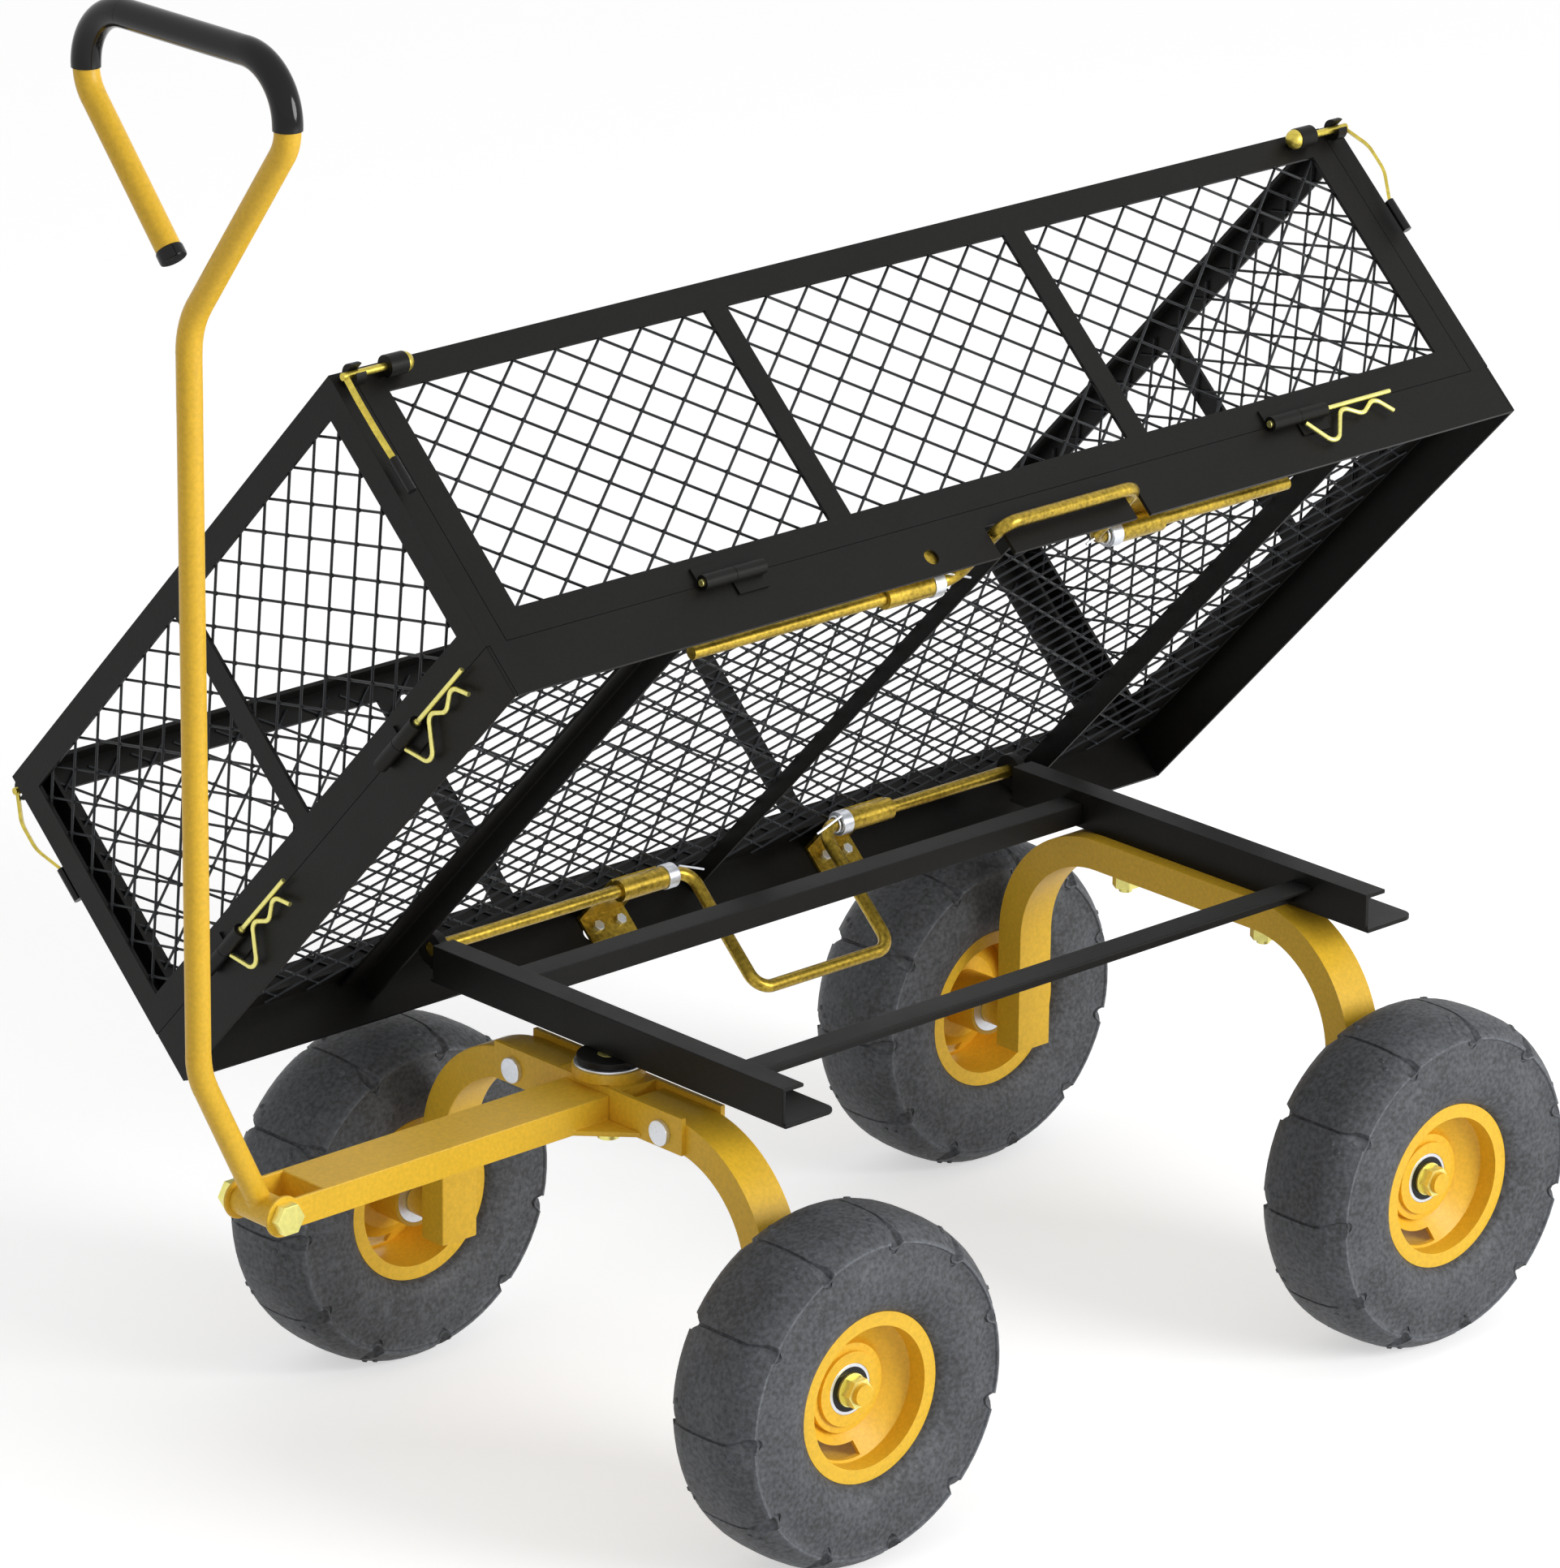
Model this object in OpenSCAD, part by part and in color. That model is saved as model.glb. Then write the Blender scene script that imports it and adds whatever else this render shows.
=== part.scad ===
// Four-wheel garden cart with a mesh bed that tips sideways over the far side.
// X runs forward to the pull handle, Y to the left and Z up. The origin is on
// the ground under the middle of the wheelbase. The bed is drawn tipped.

/* [Wheels] */
// Outside diameter of a tyre
tyre_d = 260; // [240:2:280]
// Width of a tyre at its sidewalls
tyre_w = 88; // [70:1:96]
// Diameter of the rim's rolled lip
rim_d = 126; // [116:1:136]
// Width of the rim over its two lips
rim_w = 66; // [58:1:70]
// Distance between front and rear wheel centres
wheelbase = 584; // [560:2:700]
// Distance between left and right wheel centres
track = 481; // [474:1:520]
// Diameter of the wheel spindles
spindle_d = 16; // [12:1:18]

/* [Axles] */
// Width of the axle bar along the cart
axle_bar_w = 33; // [30:1:36]
// Depth of the axle bar across its bends
axle_bar_t = 24; // [18:1:26]
// Middle-line radius of the axle bends
axle_bend_r = 90; // [70:1:96]
// Gap from a leg to its wheel's tyre
leg_gap = 10.5; // [6:0.5:14]
// Height of the middle of the front axle beam
front_beam_z = 275; // [268:1:276]
// Length of the plates that clamp the front beam
clamp_plate_l = 200; // [190:1:210]
// Height of those plates
clamp_plate_h = 28; // [26:1:31]

/* [Chassis] */
// Height of the top of the cross-members
chassis_top_z = 335; // [333:1:338]
// Gap from the bed's hinge bar to the ends of the cross-members
cross_end_gap = 17.5; // [14:0.5:24]
// Height of the cross-members
cross_h = 29; // [26:1:30]
// Depth of their top flange
cross_top_w = 20; // [18:1:28]
// Depth of their bottom flange
cross_bottom_w = 50; // [44:1:52]
// Thickness of chassis sheet
chassis_t = 3; // [2:0.5:4]
// Distance between the inner faces of the long rails
rail_gap = 220; // [190:2:240]
// Width of a long rail
rail_w = 22; // [18:1:28]

/* [Steering] */
// Diameter of the kingpin
kingpin_d = 16; // [12:1:20]
// Diameter of the turntable disc
turntable_d = 46; // [40:1:56]
// Width of the tongue
tongue_w = 48; // [44:1:54]
// Height of the tongue
tongue_h = 22; // [20:1:26]
// Distance from the kingpin to the handle's bolt
tongue_reach = 318; // [300:1:340]

/* [Handle] */
// Diameter of the handle tube
handle_d = 18; // [17:0.5:20]
// Wall of the handle tube
handle_wall = 2; // [1.5:0.1:3]
// Diameter of the grip sleeve
grip_d = 20.5; // [20.5:0.5:24]
// Rise from the bolt to the lower bend
handle_rise = 112; // [100:1:130]
// Forward lean of that first stretch
handle_lean = 54; // [45:1:65]
// Height of the upper bend, where the loop starts
loop_start_z = 916; // [880:1:940]
// Rise from there to the loop's shoulders
loop_shoulder_rise = 144; // [124:1:154]
// Rise from the shoulders to the loop's top bar
loop_top_rise = 54.5; // [50:0.5:70]
// Width of the loop between tube middles
loop_w = 208; // [196:1:220]

/* [Bed] */
// Length of the bed
bed_l = 985; // [960:5:1040]
// Width of the bed
bed_w = 528; // [510:2:560]
// Height of the base rails
base_h = 40; // [39:0.5:44]
// Height of the mesh sides above the base
side_h = 223; // [200:1:260]
// Depth of the side frames
side_depth = 18; // [14:1:22]
// Visible width of the side frame bars
side_bar_w = 22; // [18:1:26]
// Width of the posts inside the sides
post_w = 20; // [16:1:24]
// Thickness of bed sheet
bed_t = 3; // [2:0.5:3.5]
// Flange of the base rails that carries the floor
floor_flange = 24; // [20:1:30]
// Tip of the bed away from level, in degrees
tip_angle = 47; // [0:1:47]

/* [Mesh] */
// Thickness of the wire
wire_d = 2.6; // [2:0.1:3]
// Diamond length on the sides
side_pitch = 62; // [56:1:80]
// Diamond length on the floor
floor_pitch = 84; // [70:1:110]

/* [Release bars] */
// Diameter of the bar
bar_d = 10; // [8:0.5:11]
// Distance from the bed's outer face to the bar
bar_inset = 60; // [56:0.5:66]
// Height of the bar above the base rail's lower edge
bar_rise = 19; // [17:0.5:20]
// Reach of the far bar's bail
bail_reach = 107; // [80:1:115]
// Reach of the near bar's bail, to the front of the base rail
near_bail_reach = 71; // [71:0.5:80]
// Width of the bail between its legs
bail_w = 135; // [120:1:145]

/* [Latches] */
// Diameter of the corner latch rod
latch_d = 5.5; // [5:0.5:8]
// Length of the lever that hangs from it
latch_l = 69; // [55:1:90]

/* [Hidden] */
$fn = 48;
overrun = 1;
running = 0.05;
clear = 0.4;
seat_gap = 0.3;
bend_lap = 1;
bend_step = 0.08;

// Colours as photographed
yellow = [0.97, 0.75, 0.20];
pale_zinc = [0.94, 0.91, 0.52];
zinc = [0.80, 0.82, 0.85];
brass = [0.72, 0.60, 0.14];
black_paint = [0.17, 0.17, 0.16];
rubber = [0.29, 0.29, 0.30];

// Places shared by wheels and axles
tyre_r = tyre_d / 2;
rim_r = rim_d / 2;
front_x = wheelbase / 2;
rear_x = -wheelbase / 2;
wheel_y = track / 2;
wheel_z = tyre_r;
leg_out_y = wheel_y - tyre_w / 2 - leg_gap;
leg_y = leg_out_y - axle_bar_t / 2;
leg_drop = 20;
leg_end_z = wheel_z - leg_drop;

// Wheel section
tyre_round_share = 0.5;
tyre_crown_share = 0.45;
tyre_wall = 7;
profile_steps = 12;
drum_r = 55;
drum_t = 2.5;
lip_t = 3.5;
disc_out = 18;
disc_in = 4;
disc_t = 4;
boss_r = 33;
boss_face = 13;
boss_step_r = 27.5;
boss_step = 3;
hub_r = 22;
bearing_r = 19;
bearing_w = 11;
hub_back = -32;
valve_w = 9;
valve_r_share = 0.76;
valve_turn = -17;
valve_arc = 50;

// Spindle collar and end nut
collar_r = 12;
nut_r = 11.5;
nut_h = 9;
hub_washer_r = 12.5;
hub_washer_h = 2;
spindle_end = 4;

// Chassis places
cross_face = 4.5;
cross_z = chassis_top_z - cross_h;
cross_l = bed_w - 2 * bar_inset - 2 * cross_end_gap;
lip_over = 3;
lip_round = 10;
rail_y = rail_gap / 2;
rail_drop = 9;
rail_top_z = chassis_top_z - rail_drop;
eye_t = 8;
eye_r = 13;
eye_back = 20;
eye_tail = 30;
bolt_r = 5;
bolt_head_r = 8.5;
bolt_head_h = 6;
bolt_nut_h = 8;
washer_h = 1.5;
rear_bolt_y = 73;
rear_bolt_x = -6.5;
rear_head_r = 7.5;
rear_nut_r = 10.5;
rear_nut_h = 15;
rear_tail = 4;
disc_h = 5;
washer_ring_h = 2;
washer_ring_over = 2;
block_h = clamp_plate_h + seat_gap;
block_z = front_beam_z - axle_bar_t / 2;
collar_h = cross_z - disc_h - washer_ring_h - seat_gap - block_z - block_h;
collar_over = 3.5;
block_half = 32;
arm_start_y = 40;
clamp_t = 4;
clamp_rise = (clamp_plate_h - axle_bar_t) / 2;
clamp_bolt_y = 79;
clamp_head_r = 9.5;
clamp_head_h = 4;
clamp_x = axle_bar_w / 2 + clamp_t;
kingpin_nut_h = 16;
kingpin_nut_r = 12;
kingpin_tail = 5;

// Tongue and clevis
tongue_t = 3;
tongue_x0 = front_x + clamp_x;
clevis_x = front_x + tongue_reach;
clevis_z = front_beam_z;
ear_r = 15;
pocket_back = 36;
gusset = 34;
gusset_t = 4;
clevis_bolt_r = 6;
clevis_head_r = 12;
clevis_head_h = 8;
clevis_washer_r = 13;
bush_r = 11.5;

// Handle places
handle_r = handle_d / 2;
handle_bend_r = 60;
handle_x = clevis_x + handle_lean;
loop_half = loop_w / 2;
loop_shoulder_z = loop_start_z + loop_shoulder_rise;
loop_top_z = loop_shoulder_z + loop_top_rise;
loop_bend_share = 0.576;
loop_top_share = 0.763;
loop_bend_r = loop_top_rise * loop_bend_share;
loop_top_r = loop_top_rise * loop_top_share;
loop_end_y = -20;
loop_end_rise = 48;
loop_end_z = loop_start_z + loop_end_rise;
cap_l = 9;
cap_over = 0.8;

// Bed places: a frame of x along the bed, u across from the far face and n off the base
bed_half = bed_l / 2;
pivot_u = bar_inset;
pivot_n = bar_rise;
pivot_y = -(bed_w / 2 - bar_inset);
pivot_drop = 11;
pivot_z = chassis_top_z - pivot_drop;
floor_n = base_h - bed_t;
net_n = floor_n - wire_d;
inner_u = bed_w - bed_t;
bar_leg = 3;
floor_bar_w = 22;
front_bar_gap = 9.5;
mid_bar_x = -10;
rear_bar_gap = 7.5;
floor_bar_x = [
  front_x + cross_face + front_bar_gap, mid_bar_x,
  rear_x + cross_face - cross_bottom_w - rear_bar_gap
];
outer_bar_n = 15;
mid_bar_n = bar_rise + rail_top_z - pivot_z + seat_gap;
floor_bar_n = [outer_bar_n, mid_bar_n, outer_bar_n];
rail_hole_r = 6;
rail_hole_x = 97;
rail_hole_n = 14.5;
net_lap = 12;

// Sides
side_n = base_h + clear;
long_half = bed_half - side_depth - clear;
post_x = [152, -140];

// Side hinges
knuckle_r = 5.5;
knuckle_l = 28;
knuckle_off = 5.5;
leaf_l = 14;
leaf_t = 2;
hinge_pin_r = 2.6;
hinge_pin_over = 1.5;
long_hinge_x = [272, -285];
clip_hinge_x = [long_hinge_x[1]];
end_hinge_shift = 140;
end_hinge_u = [bed_w / 2 - end_hinge_shift, bed_w / 2 + end_hinge_shift];

// Spring clips: the straight leg runs on from the hinge pin, the waved leg springs against it
clip_r = 1.8;
clip_leg = 69;
clip_along = [24, 7, -15.5, -32.5, -50, -62];
clip_down = [6.7, 31, 1.95, 12, 2.1, 16];
clip_bend = 8;
clip_bends = [0, clip_bend, clip_bend, clip_bend, clip_bend, 0];

// Release bars
bar_r = bar_d / 2;
bar_end_in = 1;
bar_mid_x = cross_face - eye_back + eye_t / 2;
bar_l = wheelbase + eye_t - 2 * bar_end_in;
bail_mid_x = -36;
bail_bend_r = 14;
sleeve_r = 8.5;
sleeve_l = 44;
collar_l = 10;
collar_ring_r = 9.5;
bail_free = 16;
bail_slot_gap = 2;
bail_slot_w = bar_d + 2 * bail_slot_gap;
bail_slot_n = bar_rise + bar_r + bail_slot_gap;
bracket_t = 3;
bracket_tab = 22;
bracket_sink = 1;
bracket_bolt_r = 4.5;
bracket_bolt_h = 4;
bracket_bolt_shift = 11;

// Corner latches
latch_r = latch_d / 2;
latch_u = 9;
latch_below = 8;
latch_n = base_h + side_h - latch_below;
latch_ring_r = 8;
latch_ring_l = 16;
latch_inset = 56;
latch_tip_r = 7.5;
latch_bow = 9;
latch_bend_r = 30;
latch_strip_t = 2.4;
latch_strip_w = 4.5;
latch_splay = 45;
latch_grip_r = 3.5;
latch_grip_l = 27;
latch_lever_x = 5;
saddle_l = 9;
saddle_x = 17.5;

function flat_dir(a, b) = (b - a) / norm(b - a);
function turn_of(d, e) = atan2(d[0] * e[1] - d[1] * e[0], d[0] * e[0] + d[1] * e[1]);
function trim_of(p, r, i) =
  (i == 0 || i == len(p) - 1) ? 0
  : r[i] * abs(tan(turn_of(flat_dir(p[i - 1], p[i]), flat_dir(p[i], p[i + 1])) / 2));

// A bar bent in the XY plane through the points p, with bend radii r. The first child is its
// section at the bends and the last one between them, where a slimmer one laps into the bends
module bent_bar(p, r) {
  lap = $children > 1 ? bend_lap : 0;
  translate([p[0][0], p[0][1], 0]) {
    for (i = [0 : len(p) - 2]) {
      d = flat_dir(p[i], p[i + 1]);
      before = trim_of(p, r, i) - (i > 0 ? lap : 0);
      after = trim_of(p, r, i + 1) - (i < len(p) - 2 ? lap : 0);
      a = p[i] - p[0] + d * before;
      run = norm(p[i + 1] - p[i]) - before - after;
      translate([a[0], a[1], 0])
        rotate([0, 0, atan2(d[1], d[0])])
          rotate([90, 0, 90])
            linear_extrude(run)
              children($children - 1);
    }
    for (i = [1 : 1 : len(p) - 2]) {
      d = flat_dir(p[i - 1], p[i]);
      e = flat_dir(p[i], p[i + 1]);
      turn = turn_of(d, e);
      side = sign(turn);
      start = p[i] - p[0] - d * trim_of(p, r, i);
      hub = start + [-d[1], d[0]] * r[i] * side;
      from = atan2(start[1] - hub[1], start[0] - hub[0]);
      translate([hub[0], hub[1], 0])
        rotate([0, 0, turn > 0 ? from : from + turn])
          rotate_extrude(angle = abs(turn))
            translate([r[i], 0])
              children(0);
    }
  }
}

module ring(r_out, r_in) {
  difference() {
    circle(r_out);
    circle(r_in);
  }
}

module tube(r_out, r_in, h) {
  linear_extrude(h)
    ring(r_out, r_in);
}

module hex(r, h) {
  cylinder(r = r, h = h, $fn = 6);
}

// Turns a shape drawn along Z to run along X or Y
module along_x() {
  rotate([0, 90, 0])
    children();
}

module along_y() {
  rotate([-90, 0, 0])
    children();
}

// Puts a shape drawn in the bed's own frame in its tipped place
module on_bed() {
  translate([0, pivot_y, pivot_z])
    rotate([tip_angle, 0, 0])
      translate([0, -pivot_u, -pivot_n])
        children();
}

module flip_u(far) {
  translate([0, far ? bed_w : 0, 0])
    mirror([0, far ? 1 : 0, 0])
      children();
}

// Wheel pieces, drawn with the axle along Z and the outer side up
function tyre_half(r0, r, w) =
  [for (i = [0 : profile_steps - 1])
    let (a = 90 * i / profile_steps)
    [r0 + (r - r0) * pow(sin(a), tyre_crown_share), w * pow(cos(a), tyre_round_share)]];

function reversed(p) = [for (i = [len(p) - 1 : -1 : 0]) p[i]];

function flipped(p) = [for (q = p) [q[0], -q[1]]];

module tyre_shape() {
  foot = rim_r + tyre_wall;
  outer = tyre_half(rim_r, tyre_r, tyre_w / 2);
  inner = tyre_half(foot, tyre_r - tyre_wall, tyre_w / 2 - tyre_wall);
  bead = rim_w / 2 - lip_t;
  throat = bead - tyre_wall;
  rotate_extrude()
    polygon(concat(
      [[drum_r, bead], [rim_r, bead]], outer, [[tyre_r, 0]], reversed(flipped(outer)),
      [[rim_r, -bead], [drum_r, -bead], [drum_r, -throat], [foot, -throat]],
      flipped(inner), [[tyre_r - tyre_wall, 0]], reversed(inner),
      [[foot, throat], [drum_r, throat]]
    ));
}

module rim_shape() {
  half = rim_w / 2;
  difference() {
    rotate_extrude()
      polygon([
        [drum_r, -half + lip_t], [drum_r, half - lip_t], [rim_r, half - lip_t], [rim_r, half],
        [drum_r - drum_t, half], [drum_r - drum_t, disc_out], [boss_r, disc_in],
        [boss_r, boss_face - boss_step], [boss_step_r, boss_face - boss_step],
        [boss_step_r, boss_face], [bearing_r, boss_face], [bearing_r, hub_back],
        [hub_r, hub_back], [hub_r, disc_in - disc_t], [boss_r, disc_in - disc_t],
        [drum_r - drum_t, disc_out - disc_t], [drum_r - drum_t, -half], [rim_r, -half],
        [rim_r, -half + lip_t]
      ]);
    rotate([0, 0, 90 + valve_turn - valve_arc / 2])
      rotate_extrude(angle = valve_arc)
        translate([drum_r * valve_r_share, -half])
          square([valve_w, rim_w]);
  }
}

module bearing_shape() {
  for (z = [boss_face - bearing_w, hub_back])
    translate([0, 0, z])
      tube(bearing_r, spindle_d / 2 + running, bearing_w);
}

module at_wheel(x, side) {
  mirror([0, side < 0 ? 1 : 0, 0])
    translate([x, wheel_y, wheel_z])
      rotate([-90, 0, 0])
        children();
}

// Wheel spindle with its collar, run out from a leg along Z
module spindle_shape() {
  foot = leg_out_y - wheel_y;
  translate([0, 0, foot - axle_bar_t])
    cylinder(d = spindle_d, h = boss_face + hub_washer_h + nut_h + spindle_end - foot + axle_bar_t);
  translate([0, 0, foot])
    cylinder(r = collar_r, h = hub_back - seat_gap - foot);
}

module hub_nut_shape() {
  translate([0, 0, boss_face + seat_gap])
    tube(hub_washer_r, spindle_d / 2, hub_washer_h);
  translate([0, 0, boss_face + seat_gap + hub_washer_h])
    difference() {
      hex(nut_r, nut_h);
      translate([0, 0, -overrun])
        cylinder(d = spindle_d, h = nut_h + 2 * overrun);
    }
}

// Round-headed bolt along Z from its head below zero through the clamped bars to a nut above
module clamp_bolt_shape() {
  translate([0, 0, -clamp_head_h])
    cylinder(r = clamp_head_r, h = clamp_head_h);
  cylinder(r = bolt_r, h = 2 * clamp_x + bolt_nut_h);
  translate([0, 0, 2 * clamp_x])
    hex(bolt_head_r, bolt_nut_h);
}

// Bolt along Z through the rear axle, with a deep nut below zero and its head above
module rear_bolt_shape() {
  grip = axle_bar_t + chassis_t;
  translate([0, 0, -rear_nut_h])
    hex(rear_nut_r, rear_nut_h);
  translate([0, 0, -rear_nut_h - rear_tail])
    cylinder(r = bolt_r, h = rear_tail + rear_nut_h + grip + bolt_head_h);
  translate([0, 0, grip])
    hex(rear_head_r, bolt_head_h);
}

// Chassis
module cross_member(x) {
  translate([x + cross_face, 0, cross_z])
    difference() {
      union() {
        translate([-chassis_t, -cross_l / 2, 0])
          cube([chassis_t, cross_l, cross_h]);
        translate([-cross_top_w, -cross_l / 2, cross_h - chassis_t])
          cube([cross_top_w, cross_l, chassis_t]);
        translate([-cross_bottom_w + lip_round, -cross_l / 2 - lip_over, 0])
          cube([cross_bottom_w - lip_round, cross_l + 2 * lip_over, chassis_t]);
        translate([-cross_bottom_w, -cross_l / 2 - lip_over + lip_round, 0])
          cube([lip_round, cross_l + 2 * lip_over - 2 * lip_round, chassis_t]);
        for (s = [-1, 1])
          translate([-cross_bottom_w + lip_round, s * (cross_l / 2 + lip_over - lip_round), 0])
            cylinder(r = lip_round, h = chassis_t);
      }
      if (x < 0)
        for (s = [-1, 1])
          translate([rear_bolt_x - cross_face, s * rear_bolt_y, -overrun])
            cylinder(r = bolt_r, h = chassis_t + 2 * overrun);
    }
}

module front_cross_member() {
  color(black_paint)
    cross_member(front_x);
}

module rear_cross_member() {
  color(black_paint)
    cross_member(rear_x);
}

// Angle rail from the front channel's mouth to the rear channel's web
module long_rail(side) {
  low = cross_z + chassis_t;
  x0 = rear_x + cross_face;
  run = front_x + cross_face - chassis_t - x0;
  mirror([0, side < 0 ? 1 : 0, 0]) {
    translate([x0, rail_y, low])
      cube([run, chassis_t, rail_top_z - low]);
    translate([x0, rail_y, rail_top_z - chassis_t])
      cube([run, rail_w, chassis_t]);
  }
}

module rail_near() {
  color(black_paint)
    long_rail(1);
}

module rail_far() {
  color(black_paint)
    long_rail(-1);
}

// Plates at the far ends of the cross-members that the bed's hinge bar turns in
module pivot_eyes() {
  tail_y = -cross_l / 2 + eye_tail;
  low = cross_z + chassis_t;
  color(black_paint)
    for (x = [front_x, rear_x])
      translate([x + cross_face - eye_back, 0, 0])
        difference() {
          union() {
            translate([0, pivot_y, low])
              cube([eye_t, tail_y - pivot_y, cross_h - 2 * chassis_t]);
            translate([0, pivot_y, pivot_z])
              along_x()
                cylinder(r = eye_r, h = eye_t);
          }
          translate([-overrun, pivot_y, pivot_z])
            along_x()
              cylinder(r = bar_r + running, h = eye_t + 2 * overrun);
        }
}

// Axles
module axle_arch(beam_z, inner_y) {
  rotate([90, 0, 90])
    bent_bar(
      [[inner_y, beam_z], [leg_y, beam_z], [leg_y, leg_end_z]],
      [0, axle_bend_r, 0]
    )
      square([axle_bar_t, axle_bar_w], center = true);
}

module rear_axle() {
  beam_z = cross_z - axle_bar_t / 2;
  color(yellow)
    difference() {
      union() {
        for (s = [0, 1])
          translate([rear_x, 0, 0])
            mirror([0, s, 0])
              axle_arch(beam_z, 0);
        for (s = [-1, 1])
          at_wheel(rear_x, s)
            spindle_shape();
      }
      for (s = [-1, 1])
        translate([rear_x + rear_bolt_x, s * rear_bolt_y, beam_z - axle_bar_t])
          cylinder(r = bolt_r, h = 2 * axle_bar_t);
    }
}

module rear_fasteners() {
  low = cross_z - axle_bar_t;
  color(pale_zinc) {
    for (s = [-1, 1])
      translate([rear_x + rear_bolt_x, s * rear_bolt_y, low])
        rear_bolt_shape();
    for (s = [-1, 1])
      at_wheel(rear_x, s)
        hub_nut_shape();
  }
}

module front_arm(side) {
  color(yellow)
    difference() {
      translate([front_x, 0, 0])
        mirror([0, side < 0 ? 1 : 0, 0])
          axle_arch(front_beam_z, arm_start_y);
      translate([front_x - axle_bar_w, side * clamp_bolt_y, front_beam_z])
        along_x()
          cylinder(r = bolt_r, h = 2 * axle_bar_w);
    }
  color(yellow)
    at_wheel(front_x, side)
      spindle_shape();
}

module front_arm_near() {
  front_arm(1);
}

module front_arm_far() {
  front_arm(-1);
}

module clamp_plates() {
  color(yellow)
    for (s = [-1, 1])
      translate([front_x + s * (axle_bar_w + clamp_t) / 2, 0, front_beam_z + clamp_rise])
        difference() {
          cube([clamp_t, clamp_plate_l, clamp_plate_h], center = true);
          for (b = [-1, 1])
            translate([-clamp_t, b * clamp_bolt_y, -clamp_rise])
              along_x()
                cylinder(r = bolt_r, h = 2 * clamp_t);
        }
}

module front_fasteners() {
  color(zinc)
    for (s = [-1, 1])
      translate([front_x + clamp_x, s * clamp_bolt_y, front_beam_z])
        rotate([0, -90, 0])
          clamp_bolt_shape();
  color(pale_zinc)
    for (s = [-1, 1])
      at_wheel(front_x, s)
        hub_nut_shape();
}

// Turntable
module turntable_disc() {
  color(black_paint)
    translate([front_x, 0, cross_z - disc_h])
      tube(turntable_d / 2, kingpin_d / 2, disc_h);
}

module turntable_washer() {
  color(zinc)
    translate([front_x, 0, cross_z - disc_h - seat_gap - washer_ring_h])
      tube(turntable_d / 2 + washer_ring_over, kingpin_d / 2 + running, washer_ring_h);
}

module beam_block() {
  color(yellow)
    difference() {
      union() {
        translate([front_x - axle_bar_w / 2, -block_half, block_z])
          cube([axle_bar_w, 2 * block_half, block_h]);
        translate([front_x, 0, block_z + block_h])
          cylinder(r = turntable_d / 2 + collar_over, h = collar_h);
      }
      translate([front_x, 0, block_z - overrun])
        cylinder(r = kingpin_d / 2 + running, h = block_h + collar_h + 2 * overrun);
    }
}

module kingpin() {
  color(pale_zinc)
    translate([front_x, 0, 0]) {
      translate([0, 0, block_z - kingpin_nut_h - kingpin_tail])
        cylinder(d = kingpin_d, h = cross_z - block_z + kingpin_nut_h + kingpin_tail);
      translate([0, 0, block_z - seat_gap - kingpin_nut_h])
        hex(kingpin_nut_r, kingpin_nut_h);
    }
}

// Tongue: a box with an open pocket and two round ears at its front
module tongue() {
  half = tongue_w / 2;
  low = clevis_z - tongue_h / 2;
  color(yellow) {
    difference() {
      union() {
        translate([tongue_x0, -half, low])
          cube([clevis_x - tongue_x0, tongue_w, tongue_h]);
        translate([clevis_x, -half, clevis_z])
          along_y()
            cylinder(r = ear_r, h = tongue_w);
      }
      translate([tongue_x0 - overrun, -half + tongue_t, low + tongue_t])
        cube([clevis_x - pocket_back - tongue_x0, tongue_w - 2 * tongue_t, tongue_h - 2 * tongue_t]);
      translate([clevis_x - pocket_back, -half + tongue_t, low + tongue_t])
        cube([pocket_back - ear_r, tongue_w - 2 * tongue_t, tongue_h]);
      translate([clevis_x - ear_r - overrun, -half + tongue_t, clevis_z - ear_r - overrun])
        cube([2 * ear_r + 2 * overrun, tongue_w - 2 * tongue_t, 2 * ear_r + 2 * overrun]);
      translate([clevis_x, -half - overrun, clevis_z])
        along_y()
          cylinder(r = clevis_bolt_r, h = tongue_w + 2 * overrun);
    }
    for (s = [0, 1])
      mirror([0, s, 0])
        translate([tongue_x0, half, low])
          linear_extrude(gusset_t)
            polygon([[0, 0], [gusset, 0], [0, gusset]]);
  }
}

module clevis_bolt() {
  half = tongue_w / 2;
  color(pale_zinc)
    translate([clevis_x, half, clevis_z])
      rotate([90, 0, 0]) {
        translate([0, 0, -clevis_head_h])
          hex(clevis_head_r, clevis_head_h);
        cylinder(r = clevis_bolt_r, h = tongue_w + washer_h + clevis_head_h);
        translate([0, 0, tongue_w])
          cylinder(r = clevis_washer_r, h = washer_h);
        translate([0, 0, tongue_w + washer_h])
          hex(clevis_head_r, clevis_head_h);
      }
}

// Handle
loop_points = [
  [0, loop_start_z], [loop_half, loop_shoulder_z], [loop_half, loop_top_z],
  [-loop_half, loop_top_z], [-loop_half, loop_shoulder_z], [loop_end_y, loop_end_z]
];
loop_radii = [0, loop_bend_r, loop_top_r, loop_top_r, loop_bend_r, 0];
shoulder_trim = trim_of(loop_points, loop_radii, 1);
grip_points = [
  [loop_half, loop_shoulder_z + shoulder_trim], [loop_half, loop_top_z],
  [-loop_half, loop_top_z], [-loop_half, loop_shoulder_z + shoulder_trim]
];

module handle_section(step) {
  ring(handle_r - step, handle_r - handle_wall + step);
}

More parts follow.
